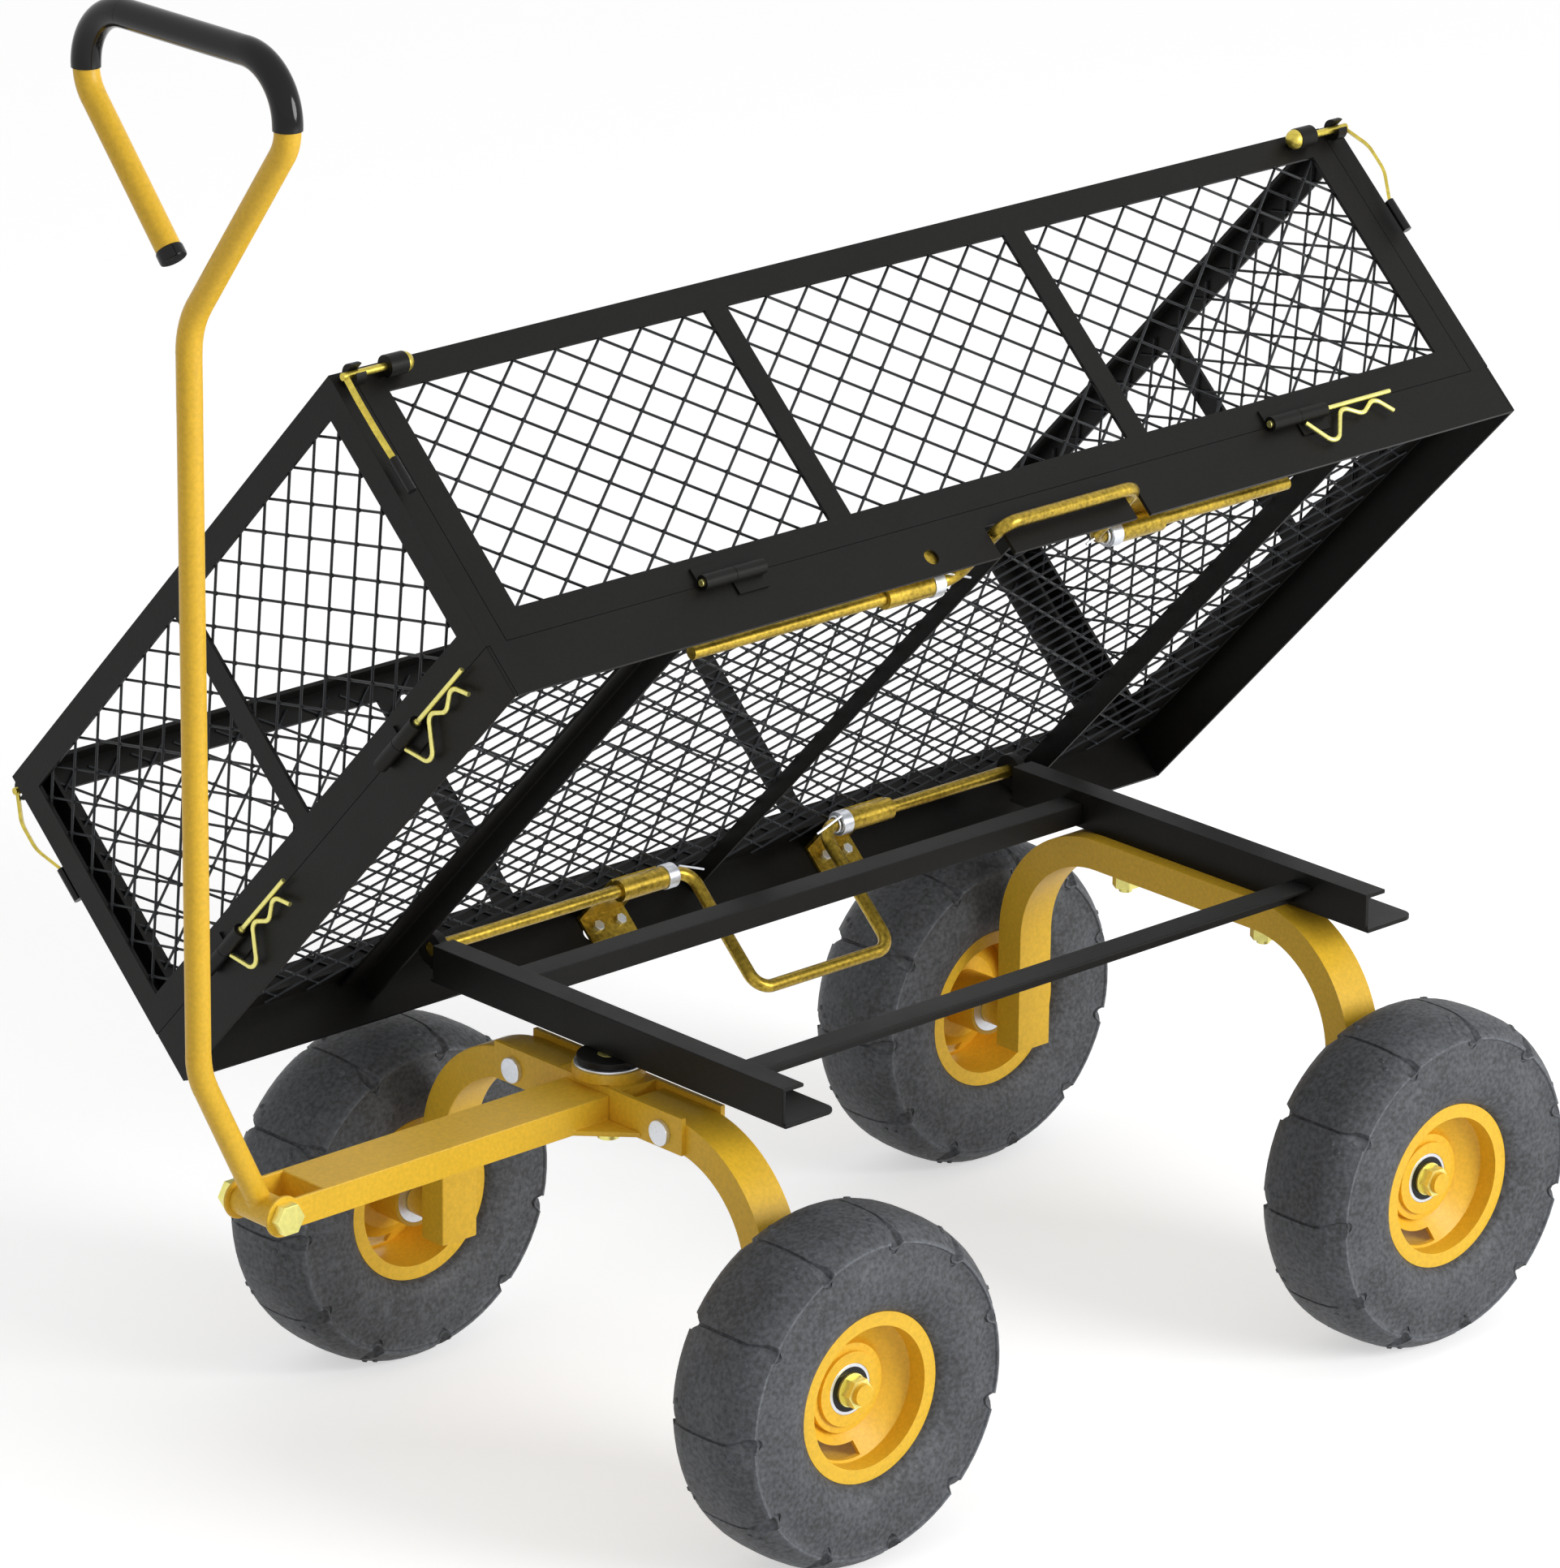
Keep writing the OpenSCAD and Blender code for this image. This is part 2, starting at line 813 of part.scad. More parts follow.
// Points along the plane of the bent stalk: x forward and height
module handle_tube() {
  foot = [clevis_x, clevis_z];
  knee = [handle_x, clevis_z + handle_rise];
  lift = bush_r * flat_dir(foot, knee);
  stalk_top = loop_start_z - handle_bend_r;
  color(yellow) {
    rotate([90, 0, 0])
      bent_bar(
        [foot + lift, knee, [handle_x, stalk_top + bend_lap]],
        [0, handle_bend_r, 0]
      ) {
        handle_section(0);
        handle_section(2 * bend_step);
      }
    translate([handle_x, 0, 0])
      rotate([90, 0, 90])
        bent_bar(
          concat([[0, stalk_top]], loop_points),
          concat([0, handle_bend_r], [for (i = [1 : len(loop_radii) - 1]) loop_radii[i]])
        ) {
          handle_section(0);
          handle_section(bend_step);
        }
    difference() {
      union() {
        translate([clevis_x, -tongue_w / 2 + tongue_t + clear, clevis_z])
          along_y()
            cylinder(r = bush_r, h = tongue_w - 2 * tongue_t - 2 * clear);
        translate([clevis_x, 0, clevis_z])
          rotate([0, atan2(handle_lean, handle_rise), 0])
            cylinder(r = handle_r, h = bush_r + bend_lap);
      }
      translate([clevis_x, -tongue_w, clevis_z])
        along_y()
          cylinder(r = clevis_bolt_r + running, h = 2 * tongue_w);
    }
  }
}

module handle_grip() {
  color(black_paint)
    translate([handle_x, 0, 0])
      rotate([90, 0, 90])
        bent_bar(grip_points, [0, loop_top_r, loop_top_r, 0]) {
          ring(grip_d / 2, handle_r + running);
          ring(grip_d / 2 - bend_step, handle_r + running + bend_step);
        }
}

module handle_cap() {
  d = flat_dir(loop_points[4], loop_points[5]);
  color(black_paint)
    translate([handle_x, loop_end_y, loop_end_z])
      rotate([90, 0, 90])
        rotate([0, 0, atan2(d[1], d[0])])
          rotate([0, 90, 0])
            cylinder(r = handle_r + cap_over, h = cap_l);
}

// Wheels
module tyre_front_near() {
  color(rubber)
    at_wheel(front_x, 1)
      tyre_shape();
}

module tyre_front_far() {
  color(rubber)
    at_wheel(front_x, -1)
      tyre_shape();
}

module tyre_rear_near() {
  color(rubber)
    at_wheel(rear_x, 1)
      tyre_shape();
}

module tyre_rear_far() {
  color(rubber)
    at_wheel(rear_x, -1)
      tyre_shape();
}

module rim_front_near() {
  color(yellow)
    at_wheel(front_x, 1)
      rim_shape();
}

module rim_front_far() {
  color(yellow)
    at_wheel(front_x, -1)
      rim_shape();
}

module rim_rear_near() {
  color(yellow)
    at_wheel(rear_x, 1)
      rim_shape();
}

module rim_rear_far() {
  color(yellow)
    at_wheel(rear_x, -1)
      rim_shape();
}

module bearings_front_near() {
  color(zinc)
    at_wheel(front_x, 1)
      bearing_shape();
}

module bearings_front_far() {
  color(zinc)
    at_wheel(front_x, -1)
      bearing_shape();
}

module bearings_rear_near() {
  color(zinc)
    at_wheel(rear_x, 1)
      bearing_shape();
}

module bearings_rear_far() {
  color(zinc)
    at_wheel(rear_x, -1)
      bearing_shape();
}

// Bed base
module long_base_rail(far) {
  color(black_paint)
    on_bed()
      flip_u(far)
        difference() {
          union() {
            translate([-bed_half + bed_t, inner_u, 0])
              cube([bed_l - 2 * bed_t, bed_t, base_h]);
            translate([-bed_half + floor_flange, bed_w - floor_flange, floor_n])
              cube([bed_l - 2 * floor_flange, floor_flange - bed_t, bed_t]);
          }
          translate([rail_hole_x, inner_u - overrun, rail_hole_n])
            along_y()
              cylinder(r = rail_hole_r, h = bed_t + 2 * overrun);
          if (!far)
            for (s = [-1, 1])
              translate([bail_mid_x + s * bail_w / 2 - bail_slot_w / 2, inner_u - overrun, -overrun])
                cube([bail_slot_w, bed_t + 2 * overrun, bail_slot_n + overrun]);
        }
}

module bed_rail_near() {
  long_base_rail(false);
}

module bed_rail_far() {
  long_base_rail(true);
}

module end_base_rail(rear) {
  color(black_paint)
    on_bed()
      mirror([rear ? 1 : 0, 0, 0]) {
        translate([bed_half - bed_t, 0, 0])
          cube([bed_t, bed_w, base_h]);
        translate([bed_half - floor_flange, bed_t, floor_n])
          cube([floor_flange - bed_t, bed_w - 2 * bed_t, bed_t]);
      }
}

module bed_rail_front() {
  end_base_rail(false);
}

module bed_rail_rear() {
  end_base_rail(true);
}

// Three angle bars under the floor, with their flat legs against the mesh
module floor_bars() {
  color(black_paint)
    on_bed()
      for (i = [0 : len(floor_bar_x) - 1])
        translate([floor_bar_x[i], bed_t, 0]) {
          s = floor_bar_x[i] < 0 ? -1 : 1;
          translate([s < 0 ? -bar_leg : 0, 0, floor_bar_n[i]])
            cube([bar_leg, bed_w - 2 * bed_t, net_n - floor_bar_n[i]]);
          translate([s < 0 ? -floor_bar_w : bar_leg, 0, net_n - bar_leg])
            cube([floor_bar_w - bar_leg, bed_w - 2 * bed_t, bar_leg]);
        }
}

// Flat net of diamond gaps in a sheet of the given size, drawn in XY from the corner
module net(size_x, size_y, pitch) {
  nx = round(size_x / pitch);
  ny = max(1, round(size_y / pitch));
  dx = size_x / nx;
  dy = size_y / ny;
  gap_x = dx / 2 - wire_d;
  gap_y = dy / 2 - wire_d;
  hubs = concat(
    [for (i = [0 : nx - 1]) for (j = [0 : ny - 1]) [(i + 0.5) * dx, (j + 0.5) * dy]],
    [for (i = [1 : 1 : nx - 1]) for (j = [1 : 1 : ny - 1]) [i * dx, j * dy]]
  );
  outline = [[0, 0], [size_x, 0], [size_x, size_y], [0, size_y]];
  gaps = [for (c = hubs)
    for (q = [[gap_x, 0], [0, gap_y], [-gap_x, 0], [0, -gap_y]]) c + q];
  routes = concat(
    [[0, 1, 2, 3]],
    [for (k = [0 : len(hubs) - 1]) [for (m = [0 : 3]) len(outline) + 4 * k + m]]
  );
  linear_extrude(wire_d)
    polygon(concat(outline, gaps), routes);
}

module floor_mesh() {
  edge = floor_flange - net_lap;
  color(black_paint)
    on_bed()
      translate([-bed_half + edge, edge, net_n])
        net(bed_l - 2 * edge, bed_w - 2 * edge, floor_pitch);
}

// Frame of a side, standing in XZ from the corner, with its outer face at y = 0
module side_frame(length, posts) {
  difference() {
    cube([length, side_depth, side_h]);
    translate([bed_t, bed_t, bed_t])
      cube([length - 2 * bed_t, side_depth, side_h - 2 * bed_t]);
    translate([side_bar_w, -overrun, side_bar_w])
      cube([length - 2 * side_bar_w, side_depth + overrun, side_h - 2 * side_bar_w]);
  }
  for (x = posts)
    translate([x - post_w / 2, 0, side_bar_w - overrun])
      cube([post_w, bed_t, side_h - 2 * side_bar_w + 2 * overrun]);
}

module side_net(length) {
  edge = side_bar_w - net_lap;
  translate([edge, bed_t + wire_d, edge])
    rotate([90, 0, 0])
      net(length - 2 * edge, side_h - 2 * edge, side_pitch);
}

module at_long_side(far) {
  on_bed()
    flip_u(far)
      translate([-long_half, bed_w, side_n])
        mirror([0, 1, 0])
          children();
}

module at_end_side(rear) {
  on_bed()
    mirror([rear ? 1 : 0, 0, 0])
      translate([bed_half, 0, base_h])
        rotate([0, 0, 90])
          children();
}

// Barrel on the outer face of a side, with its foot on that face
module latch_barrel(length) {
  along_x()
    cylinder(r = latch_ring_r, h = length);
  translate([0, -latch_u - overrun, -latch_ring_r / 2])
    cube([length, latch_u + overrun, latch_ring_r]);
}

// Ring on a long side that a corner latch turns in, drawn at the front end
module latch_ring() {
  translate([bed_half - latch_inset, bed_w + latch_u, latch_n])
    difference() {
      latch_barrel(latch_ring_l);
      translate([-overrun, 0, 0])
        along_x()
          cylinder(r = latch_r + running, h = latch_ring_l + 2 * overrun);
    }
}

// Saddle on an end side that the latch rod lies in, open outwards
module latch_saddle() {
  translate([bed_half - saddle_x, bed_w + latch_u, latch_n])
    difference() {
      latch_barrel(saddle_l);
      translate([-overrun, 0, 0])
        along_x()
          cylinder(r = latch_r + clear, h = saddle_l + 2 * overrun);
      translate([-overrun, 0, -latch_r - clear])
        cube([saddle_l + 2 * overrun, 2 * latch_ring_r, 2 * latch_r + 2 * clear]);
    }
}

// Half hinge along x from zero, on a face at y = 0, with its leaf up or down
module half_hinge(up, bore_gap, sink) {
  difference() {
    union() {
      translate([0, knuckle_off, 0])
        along_x()
          cylinder(r = knuckle_r, h = knuckle_l);
      translate([0, -sink, up ? 0 : -leaf_l])
        cube([knuckle_l, leaf_t + sink, leaf_l]);
    }
    translate([-overrun, knuckle_off, 0])
      along_x()
        cylinder(r = hinge_pin_r + bore_gap, h = knuckle_l + 2 * overrun);
  }
}

// The side's own half hinges start a gap above the seam
module side_half_hinge() {
  difference() {
    half_hinge(true, running, overrun);
    translate([-overrun, -2 * overrun, -knuckle_r - overrun])
      cube([knuckle_l + 2 * overrun, leaf_t + overrun, knuckle_r + overrun + clear]);
  }
}

module long_side_frame(far) {
  color(black_paint) {
    at_long_side(far)
      side_frame(2 * long_half, [for (x = post_x) x + long_half]);
    on_bed()
      flip_u(far) {
        for (s = [0, 1])
          mirror([s, 0, 0])
            latch_ring();
        for (x = long_hinge_x)
          translate([x + seat_gap, bed_w, base_h])
            side_half_hinge();
      }
  }
}

module side_frame_near() {
  long_side_frame(false);
}

module side_frame_far() {
  long_side_frame(true);
}

module side_mesh_near() {
  color(black_paint)
    at_long_side(false)
      side_net(2 * long_half);
}

module side_mesh_far() {
  color(black_paint)
    at_long_side(true)
      side_net(2 * long_half);
}

module end_side_frame(rear) {
  color(black_paint) {
    at_end_side(rear)
      side_frame(bed_w, [bed_w / 2]);
    on_bed()
      mirror([rear ? 1 : 0, 0, 0]) {
        for (far = [false, true])
          flip_u(far)
            latch_saddle();
        for (u = end_hinge_u)
          translate([bed_half, u - seat_gap, base_h])
            rotate([0, 0, -90])
              side_half_hinge();
      }
  }
}

module side_frame_front() {
  end_side_frame(false);
}

module side_frame_rear() {
  end_side_frame(true);
}

module side_mesh_front() {
  color(black_paint)
    at_end_side(false)
      side_net(bed_w);
}

module side_mesh_rear() {
  color(black_paint)
    at_end_side(true)
      side_net(bed_w);
}

// The hinges at these places on the long sides, and all those on the ends, drawn along x
// from the middle of the seam
module each_hinge(places) {
  on_bed() {
    for (far = [false, true])
      flip_u(far)
        for (x = places)
          translate([x, bed_w, base_h])
            children();
    for (rear = [0, 1])
      mirror([rear, 0, 0])
        for (u = end_hinge_u)
          translate([bed_half, u, base_h])
            rotate([0, 0, -90])
              children();
  }
}

module hinge_leaves() {
  color(black_paint)
    each_hinge(long_hinge_x)
      translate([-knuckle_l, 0, 0])
        half_hinge(false, 0, 0);
}

module hinge_pins() {
  color(pale_zinc) {
    each_hinge(long_hinge_x)
      translate([-knuckle_l - hinge_pin_over, knuckle_off, 0])
        along_x()
          cylinder(r = hinge_pin_r, h = 2 * knuckle_l + seat_gap + 2 * hinge_pin_over);
    each_hinge(clip_hinge_x)
      translate([-knuckle_l - clip_leg, knuckle_off, 0])
        along_x()
          cylinder(r = clip_r, h = clip_leg);
  }
}

module spring_clips() {
  color(pale_zinc)
    each_hinge(clip_hinge_x)
      translate([-knuckle_l, knuckle_off, 0])
        rotate([90, 0, 0])
          bent_bar([for (i = [0 : len(clip_along) - 1]) [clip_along[i], -clip_down[i]]], clip_bends) {
            circle(clip_r);
            circle(clip_r - bend_step);
          }
}

// Release bars: one bent rod each, with a bail between its two arms
module bar_shape(swing, reach) {
  half = bar_l / 2;
  leg = bail_w / 2;
  rotate([swing, 0, 0])
    bent_bar(
      [
        [bar_mid_x - half, 0], [bail_mid_x - leg, 0], [bail_mid_x - leg, reach],
        [bail_mid_x + leg, reach], [bail_mid_x + leg, 0], [bar_mid_x + half, 0]
      ],
      [0, bail_bend_r, bail_bend_r, bail_bend_r, bail_bend_r, 0]
    )
      circle(bar_r);
}

module release_bar_near() {
  color(brass)
    on_bed()
      translate([0, bed_w - bar_inset, bar_rise])
        bar_shape(0, near_bail_reach);
}

module release_bar_far() {
  color(brass)
    on_bed()
      translate([0, bar_inset, bar_rise])
        bar_shape(-90, bail_reach);
}

sleeve_start = bail_w / 2 + bail_free + collar_l;

module each_sleeve() {
  on_bed()
    for (far = [false, true])
      flip_u(far)
        for (s = [0, 1])
          translate([bail_mid_x, bed_w - bar_inset, bar_rise])
            mirror([s, 0, 0])
              translate([sleeve_start, 0, 0])
                children();
}

// A sleeve under a plate that reaches to the base rail and turns down it
module bar_brackets() {
  reach = bar_inset - bed_t;
  color(brass)
    each_sleeve()
      difference() {
        union() {
          along_x()
            cylinder(r = sleeve_r, h = sleeve_l);
          translate([0, 0, sleeve_r - bracket_sink])
            cube([sleeve_l, reach, bracket_t]);
          translate([0, reach - bracket_t, sleeve_r - bracket_tab])
            cube([sleeve_l, bracket_t, bracket_tab]);
        }
        translate([-overrun, 0, 0])
          along_x()
            cylinder(r = bar_r + running, h = sleeve_l + 2 * overrun);
      }
}

module bracket_bolts() {
  reach = bar_inset - bed_t - bracket_t;
  color(zinc)
    each_sleeve()
      for (s = [-1, 1])
        translate([sleeve_l / 2 + s * bracket_bolt_shift, reach, sleeve_r - bracket_tab / 2])
          rotate([90, 0, 0])
            hex(bracket_bolt_r, bracket_bolt_h);
}

module bar_collars() {
  color(zinc)
    each_sleeve()
      translate([-collar_l, 0, 0])
        along_x()
          tube(collar_ring_r, bar_r + running, collar_l);
}

// Corner latch: a rod in the long side's ring, bent down as a lever beside the end post
module latch_shape() {
  lever_x = bed_half - latch_lever_x;
  tip_x = bed_half - latch_inset - seat_gap;
  half = latch_tip_r + overrun;
  translate([0, bed_w + latch_u, latch_n]) {
    translate([tip_x, 0, 0])
      difference() {
        sphere(r = latch_tip_r);
        translate([0, -half, -half])
          cube(2 * half);
      }
    translate([tip_x - latch_r, 0, 0])
      along_x()
        cylinder(r = latch_r, h = lever_x + 2 * latch_r - tip_x);
    translate([lever_x, 0, 0])
      rotate([0, 0, -latch_splay])
        rotate([90, 0, 90])
          bent_bar(
            [[0, 0], [latch_bow, -latch_l / 3], [latch_bow, -2 * latch_l / 3], [0, -latch_l]],
            [0, latch_bend_r, latch_bend_r, 0]
          ) {
            square([latch_strip_t, latch_strip_w], center = true);
            square([latch_strip_t - bend_step, latch_strip_w - bend_step], center = true);
          }
    translate([lever_x, 0, -latch_l - latch_grip_l + bend_lap])
      cylinder(r = latch_grip_r, h = latch_grip_l);
  }
}

module corner_latch(far, rear) {
  color(pale_zinc)
    on_bed()
      flip_u(far)
        mirror([rear ? 1 : 0, 0, 0])
          latch_shape();
}

module latch_front_near() {
  corner_latch(false, false);
}

module latch_rear_near() {
  corner_latch(false, true);
}

module latch_front_far() {
  corner_latch(true, false);
}

module latch_rear_far() {
  corner_latch(true, true);
}

front_cross_member();
rear_cross_member();
rail_near();
rail_far();
pivot_eyes();
rear_axle();
rear_fasteners();
turntable_disc();
kingpin();
beam_block();
clamp_plates();
front_arm_near();
front_arm_far();
front_fasteners();
turntable_washer();
tongue();
clevis_bolt();
handle_tube();
handle_grip();
handle_cap();
tyre_front_near();
rim_front_near();
bearings_front_near();
tyre_front_far();
rim_front_far();
bearings_front_far();
tyre_rear_near();
rim_rear_near();
bearings_rear_near();
tyre_rear_far();
rim_rear_far();
bearings_rear_far();
bed_rail_near();
bed_rail_far();
bed_rail_front();
bed_rail_rear();
floor_bars();
floor_mesh();
bar_brackets();
bracket_bolts();
bar_collars();
hinge_leaves();
hinge_pins();
spring_clips();
side_frame_front();
side_mesh_front();
side_frame_rear();
side_mesh_rear();
side_frame_near();
side_mesh_near();
side_frame_far();
side_mesh_far();
release_bar_near();
release_bar_far();
latch_front_near();
latch_rear_near();
latch_front_far();
latch_rear_far();
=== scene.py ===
import math

import bmesh
import bpy
from mathutils import Matrix, Vector


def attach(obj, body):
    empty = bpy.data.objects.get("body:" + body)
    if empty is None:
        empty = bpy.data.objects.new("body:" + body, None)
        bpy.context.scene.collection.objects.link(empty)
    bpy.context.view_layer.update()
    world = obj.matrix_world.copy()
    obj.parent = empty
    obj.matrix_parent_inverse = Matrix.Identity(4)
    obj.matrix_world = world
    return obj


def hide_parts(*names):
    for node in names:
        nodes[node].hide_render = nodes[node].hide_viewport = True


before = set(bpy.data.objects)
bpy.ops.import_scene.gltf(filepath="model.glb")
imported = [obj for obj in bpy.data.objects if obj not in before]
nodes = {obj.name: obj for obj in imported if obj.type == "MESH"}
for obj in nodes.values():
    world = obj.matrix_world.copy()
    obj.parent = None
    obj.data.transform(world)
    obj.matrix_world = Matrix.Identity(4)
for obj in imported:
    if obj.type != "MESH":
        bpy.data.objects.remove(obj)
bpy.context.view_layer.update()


# Viewpoint.
# A long lens, raised a little, in front of the cart on its near side.
camera_data = bpy.data.cameras.new("camera")
camera_data.lens = 197.17614
camera_data.sensor_width = 36.0
camera_data.shift_x = -0.0026411
camera_data.shift_y = 0.0063065
camera_data.clip_end = 100.0
camera = bpy.data.objects.new("camera", camera_data)
camera.location = (4.06040833, 4.22597778, 2.54240103)
camera.rotation_euler = [math.radians(a) for a in (70.1811173, -0.61420935, 137.26049255)]
bpy.context.scene.collection.objects.link(camera)
bpy.context.scene.camera = camera
bpy.context.scene.view_settings.view_transform = "Standard"


# Chassis.
# Two cross-members and two long rails of folded sheet steel, welded at the corners, with
# welded eyes on the far side for the bed's bar. Black powder coat with a fine orange peel.
def calculation(tree, operation, second=None):
    node = tree.nodes.new("ShaderNodeMath")
    node.operation = operation
    if second is not None:
        node.inputs[1].default_value = second
    return node


def noise(tree, place, scale, detail):
    node = tree.nodes.new("ShaderNodeTexNoise")
    node.inputs["Scale"].default_value = scale
    node.inputs["Detail"].default_value = detail
    tree.links.new(place.outputs["Object"], node.inputs["Vector"])
    return node


def coat_group():
    tree = bpy.data.node_groups.new("powder_coat", "ShaderNodeTree")
    for socket, way, kind in (
        ("Colour", "INPUT", "NodeSocketColor"),
        ("Roughness", "INPUT", "NodeSocketFloat"),
        ("Unevenness", "INPUT", "NodeSocketFloat"),
        ("Grain", "INPUT", "NodeSocketFloat"),
        ("Colour", "OUTPUT", "NodeSocketColor"),
        ("Roughness", "OUTPUT", "NodeSocketFloat"),
        ("Height", "OUTPUT", "NodeSocketFloat"),
    ):
        tree.interface.new_socket(socket, in_out=way, socket_type=kind)
    given = tree.nodes.new("NodeGroupInput")
    out = tree.nodes.new("NodeGroupOutput")
    place = tree.nodes.new("ShaderNodeTexCoord")
    cloud = noise(tree, place, scale=16.0, detail=3.0)
    fine = noise(tree, place, scale=330.0, detail=2.0)
    peel = noise(tree, place, scale=700.0, detail=1.0)
    cloud_centred = calculation(tree, "SUBTRACT", 0.5)
    fine_centred = calculation(tree, "SUBTRACT", 0.5)
    spread = calculation(tree, "MULTIPLY")
    lift = calculation(tree, "ADD", 1.0)
    speck = calculation(tree, "MULTIPLY_ADD")
    rough = calculation(tree, "MULTIPLY_ADD", 0.4)
    tint = tree.nodes.new("ShaderNodeVectorMath")
    tint.operation = "SCALE"
    link = tree.links.new
    link(cloud.outputs["Fac"], cloud_centred.inputs[0])
    link(cloud_centred.outputs[0], spread.inputs[0])
    link(given.outputs["Unevenness"], spread.inputs[1])
    link(spread.outputs[0], lift.inputs[0])
    link(fine.outputs["Fac"], fine_centred.inputs[0])
    link(fine_centred.outputs[0], speck.inputs[0])
    link(given.outputs["Grain"], speck.inputs[1])
    link(lift.outputs[0], speck.inputs[2])
    link(given.outputs["Colour"], tint.inputs[0])
    link(speck.outputs[0], tint.inputs["Scale"])
    link(spread.outputs[0], rough.inputs[0])
    link(given.outputs["Roughness"], rough.inputs[2])
    link(tint.outputs[0], out.inputs["Colour"])
    link(rough.outputs[0], out.inputs["Roughness"])
    link(peel.outputs["Fac"], out.inputs["Height"])
    return tree


powder_coat = coat_group()
peel_depth = 0.0003


def coated(name, colour, roughness, unevenness, grain):
    material = bpy.data.materials.new(name)
    material.use_nodes = True
    tree = material.node_tree
    surface = tree.nodes["Principled BSDF"]
    coat = tree.nodes.new("ShaderNodeGroup")
    coat.node_tree = powder_coat
    coat.inputs["Colour"].default_value = (*colour, 1.0)
    coat.inputs["Roughness"].default_value = roughness
    coat.inputs["Unevenness"].default_value = unevenness
    coat.inputs["Grain"].default_value = grain
    tree.links.new(coat.outputs["Colour"], surface.inputs["Base Color"])
    tree.links.new(coat.outputs["Roughness"], surface.inputs["Roughness"])
    return material, surface, coat


def painted(name, colour, roughness, unevenness, grain, peel, shine):
    material, surface, coat = coated(name, colour, roughness, unevenness, grain)
    surface.inputs["Specular IOR Level"].default_value = shine
    tree = material.node_tree
    bump = tree.nodes.new("ShaderNodeBump")
    bump.inputs["Strength"].default_value = peel
    bump.inputs["Distance"].default_value = peel_depth
    tree.links.new(coat.outputs["Height"], bump.inputs["Height"])
    tree.links.new(bump.outputs["Normal"], surface.inputs["Normal"])
    return material


black_paint = painted(
    "black_paint", colour=(0.0072, 0.0068, 0.0062), roughness=0.44,
    unevenness=0.5, grain=0.5, peel=0.25, shine=0.15,
)
merge_gap = 1e-6
flat_turn = math.radians(0.5)
edge_turn = math.radians(34)
sheet_smooth = 36
sheet_edge = 0.0010


def finished(name, bm, body, material, smooth):
    bmesh.ops.recalc_face_normals(bm, faces=bm.faces)
    mesh = bpy.data.meshes.new(name)
    bm.to_mesh(mesh)
    bm.free()
    if "custom_normal" in mesh.attributes:
        mesh.attributes.remove(mesh.attributes["custom_normal"])
    mesh.polygons.foreach_set("use_smooth", [True] * len(mesh.polygons))
    mesh.set_sharp_from_angle(angle=math.radians(smooth))
    mesh.materials.clear()
    mesh.materials.append(material)
    piece = bpy.data.objects.new(name, mesh)
    bpy.context.scene.collection.objects.link(piece)
    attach(piece, body)
    return piece


# A copy of a node with its sharp edges rolled over. It can be only the part whose points keep
# accepts, or only the part ahead of a plane, closed over the cut.
def softened(name, node, body, material, width, keep=None, plane=None):
    bm = bmesh.new()
    bm.from_mesh(nodes[node].data)
    bm.transform(nodes[node].matrix_world)
    bmesh.ops.remove_doubles(bm, verts=bm.verts, dist=merge_gap)
    if keep:
        spare = [v for v in bm.verts if not keep(v.co)]
        bmesh.ops.delete(bm, geom=spare, context="VERTS")
    if plane:
        geom = list(bm.verts) + list(bm.edges) + list(bm.faces)
        bmesh.ops.bisect_plane(
            bm, geom=geom, dist=merge_gap, plane_co=plane[0], plane_no=plane[1], clear_inner=True
        )
        rim = [e for e in bm.edges if e.is_boundary]
        bmesh.ops.edgeloop_fill(bm, edges=rim)
    bmesh.ops.dissolve_limit(bm, angle_limit=flat_turn, verts=bm.verts, edges=bm.edges)
    sharp = [e for e in bm.edges if e.is_manifold and e.calc_face_angle() > edge_turn]
    bmesh.ops.bevel(
        bm,
        geom=sharp,
        offset=width,
        offset_type="OFFSET",
        segments=2,
        profile=0.5,
        affect="EDGES",
        material=-1,
        clamp_overlap=True,
    )
    piece = finished(name, bm, body, material, sheet_smooth)
    even = piece.modifiers.new("even_normals", "WEIGHTED_NORMAL")
    even.keep_sharp = True
    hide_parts(node)


for node in ("front_cross_member", "rear_cross_member", "rail_near", "rail_far"):
    softened(f"{node}_sheet", node, "chassis", black_paint, sheet_edge)
softened("pivot_eye_plates", "pivot_eyes", "chassis", black_paint, sheet_edge)


# Rear axle.
# One bar bent down at both ends and bolted under the rear cross-member, with turned
# spindles welded in its legs. Warm yellow powder coat with a fine brownish grain.
yellow_paint = painted(
    "yellow_paint", colour=(0.79, 0.475, 0.029), roughness=0.40,
    unevenness=0.16, grain=0.36, peel=0.35, shine=0.38,
)
bar_edge = 0.0030
softened("rear_axle_bar", "rear_axle", "chassis", yellow_paint, bar_edge)


# Fasteners.
# Hex bolts, nuts and washers of steel, plated with yellow zinc or bright zinc and left
# bare. The clamp bolts have rounder heads than the nuts on the hubs.
def plated(name, colour, roughness, mottle, grain):
    material, surface, _ = coated(name, colour, roughness, mottle, grain)
    surface.inputs["Metallic"].default_value = 0.85
    return material


zinc = plated("zinc", colour=(0.72, 0.75, 0.80), roughness=0.34, mottle=0.30, grain=0.30)
yellow_zinc = plated(
    "yellow_zinc", colour=(0.86, 0.80, 0.26), roughness=0.38, mottle=0.30, grain=0.35
)
nut_edge = 0.0006
clamp_head_edge = 0.0018
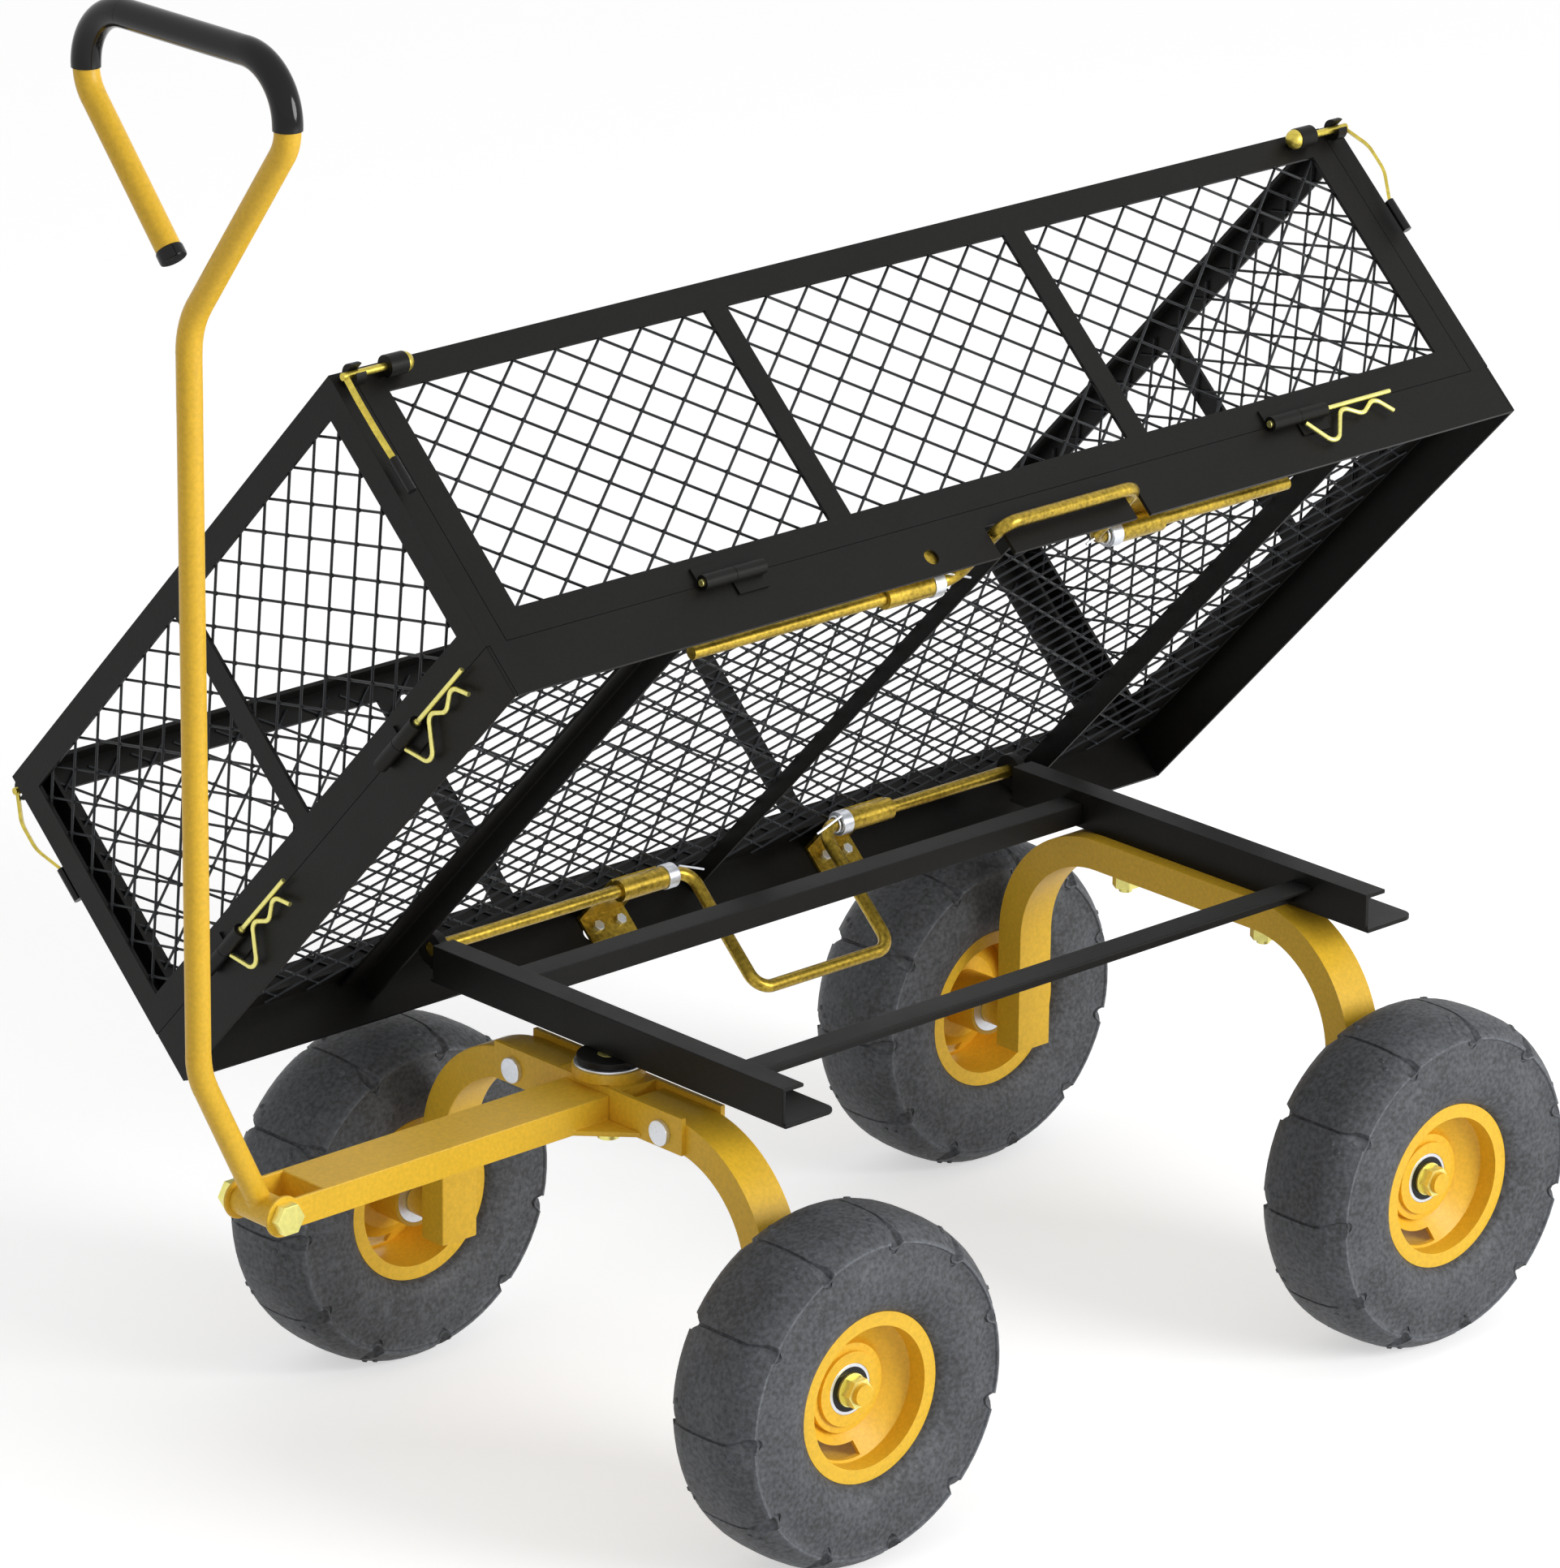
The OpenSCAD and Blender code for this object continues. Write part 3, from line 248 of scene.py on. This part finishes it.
# The clamp bolts lie nearer the middle than this, and the hub nuts farther out
hub_from = 0.15
softened("rear_bolts", "rear_fasteners", "chassis", yellow_zinc, nut_edge)
softened(
    "clamp_bolts", "front_fasteners", "front_steer", zinc, clamp_head_edge,
    keep=lambda co: abs(co.y) < hub_from,
)
softened(
    "front_hub_nuts", "front_fasteners", "front_steer", yellow_zinc, nut_edge,
    keep=lambda co: abs(co.y) > hub_from,
)


# Front steering gear.
# A flat disc under the front cross-member turns on a washer over a yellow block. Two plates
# clamp the bent arms to the block, and a kingpin holds the stack together.
disc_edge = 0.0008
pin_edge = 0.0008
block_edge = 0.0012
softened("turntable_plate", "turntable_disc", "chassis", black_paint, disc_edge)
softened("kingpin_bolt", "kingpin", "chassis", yellow_zinc, pin_edge)
softened("turntable_ring", "turntable_washer", "front_steer", zinc, nut_edge)
for node, width in (
    ("beam_block", block_edge),
    ("clamp_plates", sheet_edge),
    ("front_arm_near", bar_edge),
    ("front_arm_far", bar_edge),
):
    softened(f"{node}_bar", node, "front_steer", yellow_paint, width)


# Tongue.
# A welded steel box with two gussets at the clamp plate and a forked end for the handle's
# bolt. Yellow powder coat, with a plated bolt.
softened("tongue_box", "tongue", "front_steer", yellow_paint, block_edge)
softened("clevis_pin", "clevis_bolt", "front_steer", yellow_zinc, pin_edge)


# Handle.
# One bent steel tube with a loop at the top, in a glossy black dipped sleeve, its free end
# closed with a plastic cap.
vinyl = painted(
    "black_vinyl", colour=(0.005, 0.005, 0.005), roughness=0.13,
    unevenness=0.4, grain=0.2, peel=0.05, shine=0.26,
)
tube_edge = 0.0006
grip_edge = 0.0012
cap_edge = 0.0015
softened("handle_pipe", "handle_tube", "handle", yellow_paint, tube_edge)
softened("grip_sleeve", "handle_grip", "handle", vinyl, grip_edge)
softened("loop_cap", "handle_cap", "handle", vinyl, cap_edge)


# Tyres.
# Moulded rubber with a broad tread and a raised edge round each shoulder, whose colour is
# lightened as a painted highlight. Narrow cuts cross the tread and open into notches at the
# shoulders, with small nubs beside them.
def rubber_material():
    material = bpy.data.materials.new("tyre")
    material.use_nodes = True
    tree = material.node_tree
    surface = tree.nodes["Principled BSDF"]
    surface.inputs["Specular IOR Level"].default_value = 0.45
    place = tree.nodes.new("ShaderNodeTexCoord")
    speck = noise(tree, place, scale=300.0, detail=3.0)
    dust = noise(tree, place, scale=26.0, detail=4.0)
    dust_share = calculation(tree, "MULTIPLY", 0.28)
    both = calculation(tree, "MULTIPLY_ADD", 0.72)
    # Painted highlight: the band round each shoulder edge lifts the ramp towards its lightest
    # shade
    shoulder_highlight = tree.nodes.new("ShaderNodeAttribute")
    shoulder_highlight.attribute_name = "painted_highlight"
    with_highlight = calculation(tree, "MULTIPLY_ADD", 0.26)
    ramp = tree.nodes.new("ShaderNodeValToRGB")
    shades = ramp.color_ramp.elements
    shades[0].position = 0.36
    shades[0].color = (0.030, 0.031, 0.033, 1.0)
    shades[1].position = 0.68
    shades[1].color = (0.098, 0.104, 0.116, 1.0)
    # Lightest shade, reached at the painted highlight on the shoulder edge
    shades.new(0.95).color = (0.170, 0.185, 0.205, 1.0)
    rough = tree.nodes.new("ShaderNodeMapRange")
    rough.inputs["To Min"].default_value = 0.72
    rough.inputs["To Max"].default_value = 0.46
    bump = tree.nodes.new("ShaderNodeBump")
    bump.inputs["Strength"].default_value = 0.5
    bump.inputs["Distance"].default_value = 0.0009
    link = tree.links.new
    link(dust.outputs["Fac"], dust_share.inputs[0])
    link(speck.outputs["Fac"], both.inputs[0])
    link(dust_share.outputs[0], both.inputs[2])
    link(shoulder_highlight.outputs["Fac"], with_highlight.inputs[0])
    link(both.outputs[0], with_highlight.inputs[2])
    link(with_highlight.outputs[0], ramp.inputs["Fac"])
    link(ramp.outputs["Color"], surface.inputs["Base Color"])
    link(both.outputs[0], rough.inputs["Value"])
    link(rough.outputs["Result"], surface.inputs["Roughness"])
    link(speck.outputs["Fac"], bump.inputs["Height"])
    link(bump.outputs["Normal"], surface.inputs["Normal"])
    return material


rubber = rubber_material()
wheel_places = {
    "front_near": Vector((0.292, 0.2405, 0.130)),
    "front_far": Vector((0.292, -0.2405, 0.130)),
    "rear_near": Vector((-0.292, 0.2405, 0.130)),
    "rear_far": Vector((-0.292, -0.2405, 0.130)),
}
wheel_axis = (0.0, 1.0, 0.0)
# Half section of a tyre as (offset across, radius), from the crown to the bead in the rim
tyre_half = (
    (0.0000, 0.1300),
    (0.0100, 0.1298),
    (0.0190, 0.1290),
    (0.0260, 0.1272),
    (0.0315, 0.1244),
    (0.0355, 0.1216),
    (0.0388, 0.1186),
    (0.0400, 0.1176),
    (0.0418, 0.1166),
    (0.0420, 0.1150),
    (0.0404, 0.1140),
    (0.0396, 0.1120),
    (0.0396, 0.1075),
    (0.0404, 0.1030),
    (0.0418, 0.0960),
    (0.0426, 0.0880),
    (0.0420, 0.0800),
    (0.0402, 0.0725),
    (0.0372, 0.0664),
    (0.0332, 0.0634),
    (0.0298, 0.0622),
    (0.0290, 0.0575),
)
# The raised edge lies at this radius and outside this offset, and a painted highlight lightens it
# this far round it
shoulder_r = 0.1158
shoulder_from = 0.0392
highlight_band = 0.0030
tread_cuts = 11
cut_pitch = math.tau / tread_cuts
# Turns from the middle of a cut, and the share of its depth at each of them
cut_marks = ((-1.0, 0.0), (-0.55, 0.8), (0.0, 1.0), (0.55, 0.8), (1.0, 0.0))
plain_marks = (0.10, 0.26, 0.42, 0.58, 0.74, 0.90)
cut_half = math.radians(0.55)
cut_depth = 0.0018
# A notch opens across the tread from one offset, and up the side wall from one radius
notch_half = math.radians(3.2)
notch_depth = 0.0048
notch_across_from = 0.0250
notch_across = 0.0140
notch_up_from = 0.1060
notch_up = 0.0085
notch_inward = 0.5
# Nubs as (offset across, radius, share of a pitch past the cut)
nubs = ((0.0215, 0.1280, 0.14), (0.0275, 0.1260, 0.20))
nub_r = 0.0028
nub_shape = Matrix.Diagonal((0.6, 1.0, 1.0, 1.0))
tyre_smooth = 32


def notch_share(across, radius):
    if radius > shoulder_r:
        share = (across - notch_across_from) / notch_across
    else:
        share = (radius - notch_up_from) / notch_up
    share = min(max(share, 0.0), 1.0)
    return share * share * (3.0 - 2.0 * share)


def tyre(name):
    bm = bmesh.new()
    centre = wheel_places[name]
    section = list(tyre_half) + [(-y, r) for y, r in reversed(tyre_half[1:])]
    verts = [bm.verts.new(centre + Vector((r, y, 0.0))) for y, r in section]
    edges = [bm.edges.new((verts[k - 1], verts[k])) for k in range(len(verts))]
    stops = []
    for k in range(tread_cuts):
        for mark in cut_marks:
            stops.append((k * cut_pitch + (mark[0] + 1.0) * cut_half, mark))
        for share in plain_marks:
            stops.append(((k + share) * cut_pitch, None))
    stops.append((math.tau, cut_marks[0]))
    rings = [(verts, cut_marks[0])]
    ring = verts + edges
    turned = 0.0
    for stop, mark in stops[1:]:
        ring = bmesh.ops.spin(
            bm, geom=ring, cent=centre, axis=wheel_axis, angle=stop - turned, steps=1
        )["geom_last"]
        turned = stop
        rings.append(([g for g in ring if isinstance(g, bmesh.types.BMVert)], mark))
    for row, mark in rings:
        if not mark:
            continue
        for v in row:
            arm = v.co - centre
            radius = math.hypot(arm.x, arm.z)
            opened = notch_share(abs(arm.y), radius)
            on_tread = 1.0 if radius > shoulder_r else opened
            deep = mark[1] * (cut_depth * on_tread + (notch_depth - cut_depth) * opened)
            arm = Matrix.Rotation(mark[0] * (notch_half - cut_half) * opened, 3, "Y") @ arm
            inward = math.copysign(notch_inward * deep * opened, arm.y)
            lower = 1.0 - deep / radius
            v.co = centre + Vector((arm.x * lower, arm.y - inward, arm.z * lower))
    bmesh.ops.remove_doubles(bm, verts=bm.verts, dist=merge_gap)
    # Painted highlight: lighter colour in a band round each shoulder edge, fading out over the
    # band's width
    painted_highlight = bm.verts.layers.float.new("painted_highlight")
    for v in bm.verts:
        arm = v.co - centre
        past = abs(math.hypot(arm.x, arm.z) - shoulder_r) / highlight_band
        v[painted_highlight] = max(1.0 - past, 0.0) if abs(arm.y) > shoulder_from else 0.0
    for k in range(tread_cuts):
        for across, radius, ahead in nubs:
            for side in (1, -1):
                turn = Matrix.Rotation((k + ahead * side) * cut_pitch, 4, "Y")
                out = Matrix.Translation((radius, across * side, 0.0))
                place = Matrix.Translation(centre) @ turn @ out
                bmesh.ops.create_icosphere(
                    bm, subdivisions=1, radius=nub_r, matrix=place @ nub_shape
                )
    piece = finished(f"tyre_{name}_rubber", bm, f"wheel_{name}", rubber, tyre_smooth)
    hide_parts(f"tyre_{name}")


for name in wheel_places:
    tyre(name)


# Rims.
# Pressed steel halves with a rolled lip, a dished disc, a hub boss and a curved slot low in
# the disc. Warm yellow powder coat, with a bright sealed bearing in each face of the hub.
rim_edge = 0.0011
bearing_edge = 0.0006
seal_out = 0.0130
# Section of a bearing's seal as (radius, offset outward)
seal_section = (
    (0.0110, -0.0020),
    (0.0166, -0.0020),
    (0.0166, 0.0001),
    (0.0160, 0.0002),
    (0.0110, 0.0002),
)
seal_steps = 48
turned_smooth = 40
for name, place in wheel_places.items():
    body = f"wheel_{name}"
    softened(f"rim_{name}_pressing", f"rim_{name}", body, yellow_paint, rim_edge)
    softened(f"bearings_{name}_rings", f"bearings_{name}", body, zinc, bearing_edge)
    outward = 1 if place.y > 0 else -1
    seal = place + Vector((0.0, outward * seal_out, 0.0))
    bm = bmesh.new()
    section = [bm.verts.new(seal + Vector((r, y * outward, 0.0))) for r, y in seal_section]
    sides = [bm.edges.new((section[k - 1], section[k])) for k in range(len(section))]
    bmesh.ops.spin(
        bm, geom=section + sides, cent=seal, axis=wheel_axis,
        angle=math.tau, steps=seal_steps, use_merge=True,
    )
    finished(f"bearing_seal_{name}", bm, body, vinyl, turned_smooth)


# Bed base.
# Four folded steel rails around the floor with three folded bars between the long ones.
# Black powder coat.
for node in ("bed_rail_near", "bed_rail_far", "bed_rail_front", "bed_rail_rear"):
    softened(f"{node}_sheet", node, "bed", black_paint, sheet_edge)
softened("floor_bar_sheets", "floor_bars", "bed", black_paint, sheet_edge)


# Mesh.
# Thin steel wire crossed into flat diamonds and welded at the crossings, in the floor and in
# the four sides, and painted black with them.
wire_paint = painted(
    "wire_paint", colour=(0.014, 0.0155, 0.018), roughness=0.45,
    unevenness=0.4, grain=0.3, peel=0.10, shine=0.25,
)
diamond_l = 0.0396
wire_slope = 0.779
wire_d = 0.0021
wire_sides = 6
wire_smooth = 60
# Each layer's share of a wire's thickness to its own side, and the shortest wire in thicknesses
layer_share = 0.3
shortest_share = 2.0
knot_r = 0.0021
# The bed is drawn flat, as (along, across, up), and tips on the far release bar
bed_turn = Matrix.Rotation(math.radians(47), 3, "X")
bed_pivot = Vector((0.0, -0.204, 0.324))
far_bar_u = 0.060
bar_n = 0.019


def on_bed(x, u, n):
    return bed_pivot + bed_turn @ Vector((x, u - far_bar_u, n - bar_n))


# A net over the rectangle at corner, with a crossing at knot_run along and knot_rise up it
def netting(name, node, body, corner, run_end, rise_end, knot_run, knot_rise):
    start = on_bed(*corner)
    run = on_bed(*run_end) - start
    rise = on_bed(*rise_end) - start
    length = run.length
    height = rise.length
    run.normalize()
    rise.normalize()
    out = run.cross(rise)
    reach = height / wire_slope
    bm = bmesh.new()
    for lean in (1, -1):
        first = knot_run - lean * knot_rise / wire_slope
        first -= math.ceil((first + reach) / diamond_l) * diamond_l
        for k in range(math.ceil((length + 2.0 * reach) / diamond_l) + 1):
            foot = first + k * diamond_l
            low = max(min(foot, foot + lean * reach), 0.0)
            high = min(max(foot, foot + lean * reach), length)
            if high - low < shortest_share * wire_d:
                continue
            lift = out * lean * wire_d * layer_share
            a = start + run * low + rise * (low - foot) * lean * wire_slope + lift
            b = start + run * high + rise * (high - foot) * lean * wire_slope + lift
            turn = (b - a).to_track_quat("Z", "Y").to_matrix().to_4x4()
            bmesh.ops.create_cone(
                bm,
                cap_ends=True,
                segments=wire_sides,
                radius1=wire_d / 2,
                radius2=wire_d / 2,
                depth=(b - a).length,
                matrix=Matrix.Translation((a + b) / 2) @ turn,
            )
    half_l = diamond_l / 2
    half_h = half_l * wire_slope
    first_i, last_i = -math.floor(knot_run / half_l), math.floor((length - knot_run) / half_l)
    first_j, last_j = -math.floor(knot_rise / half_h), math.floor((height - knot_rise) / half_h)
    for i in range(first_i, last_i + 1):
        for j in range(first_j, last_j + 1):
            if (i + j) % 2 == 0:
                weld = start + run * (knot_run + i * half_l) + rise * (knot_rise + j * half_h)
                bmesh.ops.create_icosphere(
                    bm, subdivisions=1, radius=knot_r, matrix=Matrix.Translation(weld)
                )
    piece = finished(name, bm, body, wire_paint, wire_smooth)
    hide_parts(node)


floor_n = 0.0357
floor_x = 0.4805
floor_u = (0.012, 0.516)
netting(
    "floor_wires", "floor_mesh", "bed",
    corner=(-floor_x, floor_u[0], floor_n),
    run_end=(floor_x, floor_u[0], floor_n),
    rise_end=(-floor_x, floor_u[1], floor_n),
    knot_run=0.4805, knot_rise=0.2520,
)
long_x = 0.4641
long_n = (0.0504, 0.2534)
for name, u in (("near", 0.5237), ("far", 0.0043)):
    netting(
        f"side_{name}_wires", f"side_mesh_{name}", f"side_{name}",
        corner=(-long_x, u, long_n[0]),
        run_end=(long_x, u, long_n[0]),
        rise_end=(-long_x, u, long_n[1]),
        knot_run=0.7814, knot_rise=0.1153,
    )
end_u = (0.010, 0.518)
end_n = (0.050, 0.253)
for name, x in (("front", 0.4882), ("rear", -0.4882)):
    netting(
        f"side_{name}_wires", f"side_mesh_{name}", "bed",
        corner=(x, end_u[0], end_n[0]),
        run_end=(x, end_u[1], end_n[0]),
        rise_end=(x, end_u[0], end_n[1]),
        knot_run=0.3902, knot_rise=0.1323,
    )


# Sides.
# Folded sheet frames with flat posts. The latches hold the two ends to the long sides, and
# each long side folds out on its own hinges. Black powder coat.
for name, body in (("near", "side_near"), ("far", "side_far"), ("front", "bed"), ("rear", "bed")):
    softened(
        f"side_{name}_sheet", f"side_frame_{name}", body, black_paint, sheet_edge
    )


# Hinges.
# Rolled black steel leaves on yellow-plated pins, each pin kept by a waved spring clip.
leaf_edge = 0.0006
hinge_pin_edge = 0.0005
clip_edge = 0.0003
softened("hinge_straps", "hinge_leaves", "bed", black_paint, leaf_edge)
softened("hinge_rods", "hinge_pins", "bed", yellow_zinc, hinge_pin_edge)
softened("wave_clips", "spring_clips", "bed", yellow_zinc, clip_edge)


# Release bars.
# Bent rods with a bail to pull, turning in plated sleeves that are bolted inside the base
# rails, with a bright collar and a thin wire ring beside each sleeve.
brass_plate = plated(
    "brass_plate", colour=(0.40, 0.275, 0.034), roughness=0.33, mottle=1.1, grain=1.7
)
rod_edge = 0.0006
bracket_bolt_edge = 0.0005
for name in ("near", "far"):
    bar = f"release_bar_{name}"
    softened(f"release_rod_{name}", bar, bar, brass_plate, rod_edge)
softened("sleeve_plates", "bar_brackets", "bed", brass_plate, rod_edge)
softened("sleeve_bolts", "bracket_bolts", "bed", zinc, bracket_bolt_edge)
softened("rod_collars", "bar_collars", "bed", zinc, rod_edge)
near_bar_u = 0.468
bail_x = -0.036
ring_from_bail = 0.0815
ring_r = 0.0060
ring_wire_r = 0.0009
ring_wire_sides = 8
ring_steps = 24
tail_from_bail = 0.0700
tail_place = Vector((0.0, 0.0062, 0.0040))
tail_rise = 0.35
tail_l = 0.026
bm = bmesh.new()
for u in (far_bar_u, near_bar_u):
    for way in (1, -1):
        hub = on_bed(bail_x + way * ring_from_bail, u, bar_n)
        section = bmesh.ops.create_circle(
            bm, segments=ring_wire_sides, radius=ring_wire_r,
            matrix=Matrix.Translation(hub + Vector((0.0, ring_r, 0.0))),
        )["verts"]
        loop = list(dict.fromkeys(e for v in section for e in v.link_edges))
        bmesh.ops.spin(
            bm, geom=section + loop, cent=hub, axis=(1.0, 0.0, 0.0),
            angle=math.tau, steps=ring_steps, use_merge=True,
        )
        tail = on_bed(bail_x + way * tail_from_bail, u, bar_n) + tail_place
        lean = Vector((way, 0.0, tail_rise)).to_track_quat("Z", "Y").to_matrix().to_4x4()
        bmesh.ops.create_cone(
            bm, cap_ends=True, segments=ring_wire_sides, radius1=ring_wire_r, radius2=ring_wire_r,
            depth=tail_l, matrix=Matrix.Translation(tail) @ lean,
        )
finished("collar_wires", bm, "bed", zinc, turned_smooth)


# Corner latches.
# A plated rod turns in a ring on each long side, with a domed knob on its inner end and a
# bowed strip lever on the outer one, dipped in black at its tip.
lever_plate = plated(
    "lever_plate", colour=(0.62, 0.50, 0.085), roughness=0.33, mottle=0.60, grain=0.80
)
lever_edge = 0.0004
tip_edge = 0.0015
dip_n = 0.1872
up = bed_turn @ Vector((0.0, 0.0, 1.0))
dip = on_bed(0.0, 0.0, dip_n)
for name in wheel_places:
    latch = f"latch_{name}"
    softened(
        f"{latch}_rod", latch, latch, lever_plate, lever_edge, plane=(dip, up)
    )
    softened(f"{latch}_tip", latch, latch, vinyl, tip_edge, plane=(dip, -up))


# Studio.
# A plain white floor and sky, with one broad soft lamp low on the right. The camera and
# reflections see both as white, and the floor keeps the cart's shadow.
def seen_white(tree):
    path = tree.nodes.new("ShaderNodeLightPath")
    glossy = calculation(tree, "MAXIMUM")
    clear = calculation(tree, "MAXIMUM")
    tree.links.new(path.outputs["Is Camera Ray"], glossy.inputs[0])
    tree.links.new(path.outputs["Is Glossy Ray"], glossy.inputs[1])
    tree.links.new(glossy.outputs[0], clear.inputs[0])
    tree.links.new(path.outputs["Is Transmission Ray"], clear.inputs[1])
    return clear.outputs[0]


white = (1.0, 1.0, 1.0, 1.0)
light_level = 0.52
floor_mesh = bpy.data.meshes.new("studio_floor")
bm = bmesh.new()
bmesh.ops.create_grid(bm, x_segments=1, y_segments=1, size=40.0)
bm.to_mesh(floor_mesh)
bm.free()
floor = bpy.data.objects.new("studio_floor", floor_mesh)
bpy.context.scene.collection.objects.link(floor)
floor_paint = bpy.data.materials.new("studio_floor")
floor_paint.use_nodes = True
floor_tree = floor_paint.node_tree
floor_surface = floor_tree.nodes["Principled BSDF"]
floor_surface.inputs["Base Color"].default_value = (0.80, 0.80, 0.80, 1.0)
floor_surface.inputs["Roughness"].default_value = 0.9
floor_surface.inputs["Specular IOR Level"].default_value = 0.0
floor_surface.inputs["Emission Color"].default_value = white
glow = calculation(floor_tree, "MULTIPLY", light_level)
floor_tree.links.new(seen_white(floor_tree), glow.inputs[0])
floor_tree.links.new(glow.outputs[0], floor_surface.inputs["Emission Strength"])
floor_mesh.materials.append(floor_paint)

world = bpy.data.worlds.new("studio")
bpy.context.scene.world = world
world.use_nodes = True
sky_tree = world.node_tree
sky = sky_tree.nodes["Background"]
sky.inputs["Color"].default_value = white
level = sky_tree.nodes.new("ShaderNodeMapRange")
level.inputs["To Min"].default_value = light_level
level.inputs["To Max"].default_value = 1.0
sky_tree.links.new(seen_white(sky_tree), level.inputs["Value"])
sky_tree.links.new(level.outputs["Result"], sky.inputs["Strength"])

lamp_data = bpy.data.lights.new("key", "AREA")
lamp_data.shape = "DISK"
lamp_data.size = 2.4
lamp_data.energy = 170.0
lamp = bpy.data.objects.new("key", lamp_data)
lamp.location = (-1.4, 4.4, 1.9)
lamp_aim = Vector((0.0, 0.0, 0.4))
lamp.rotation_euler = (lamp_aim - lamp.location).to_track_quat("-Z", "Y").to_euler()
bpy.context.scene.collection.objects.link(lamp)
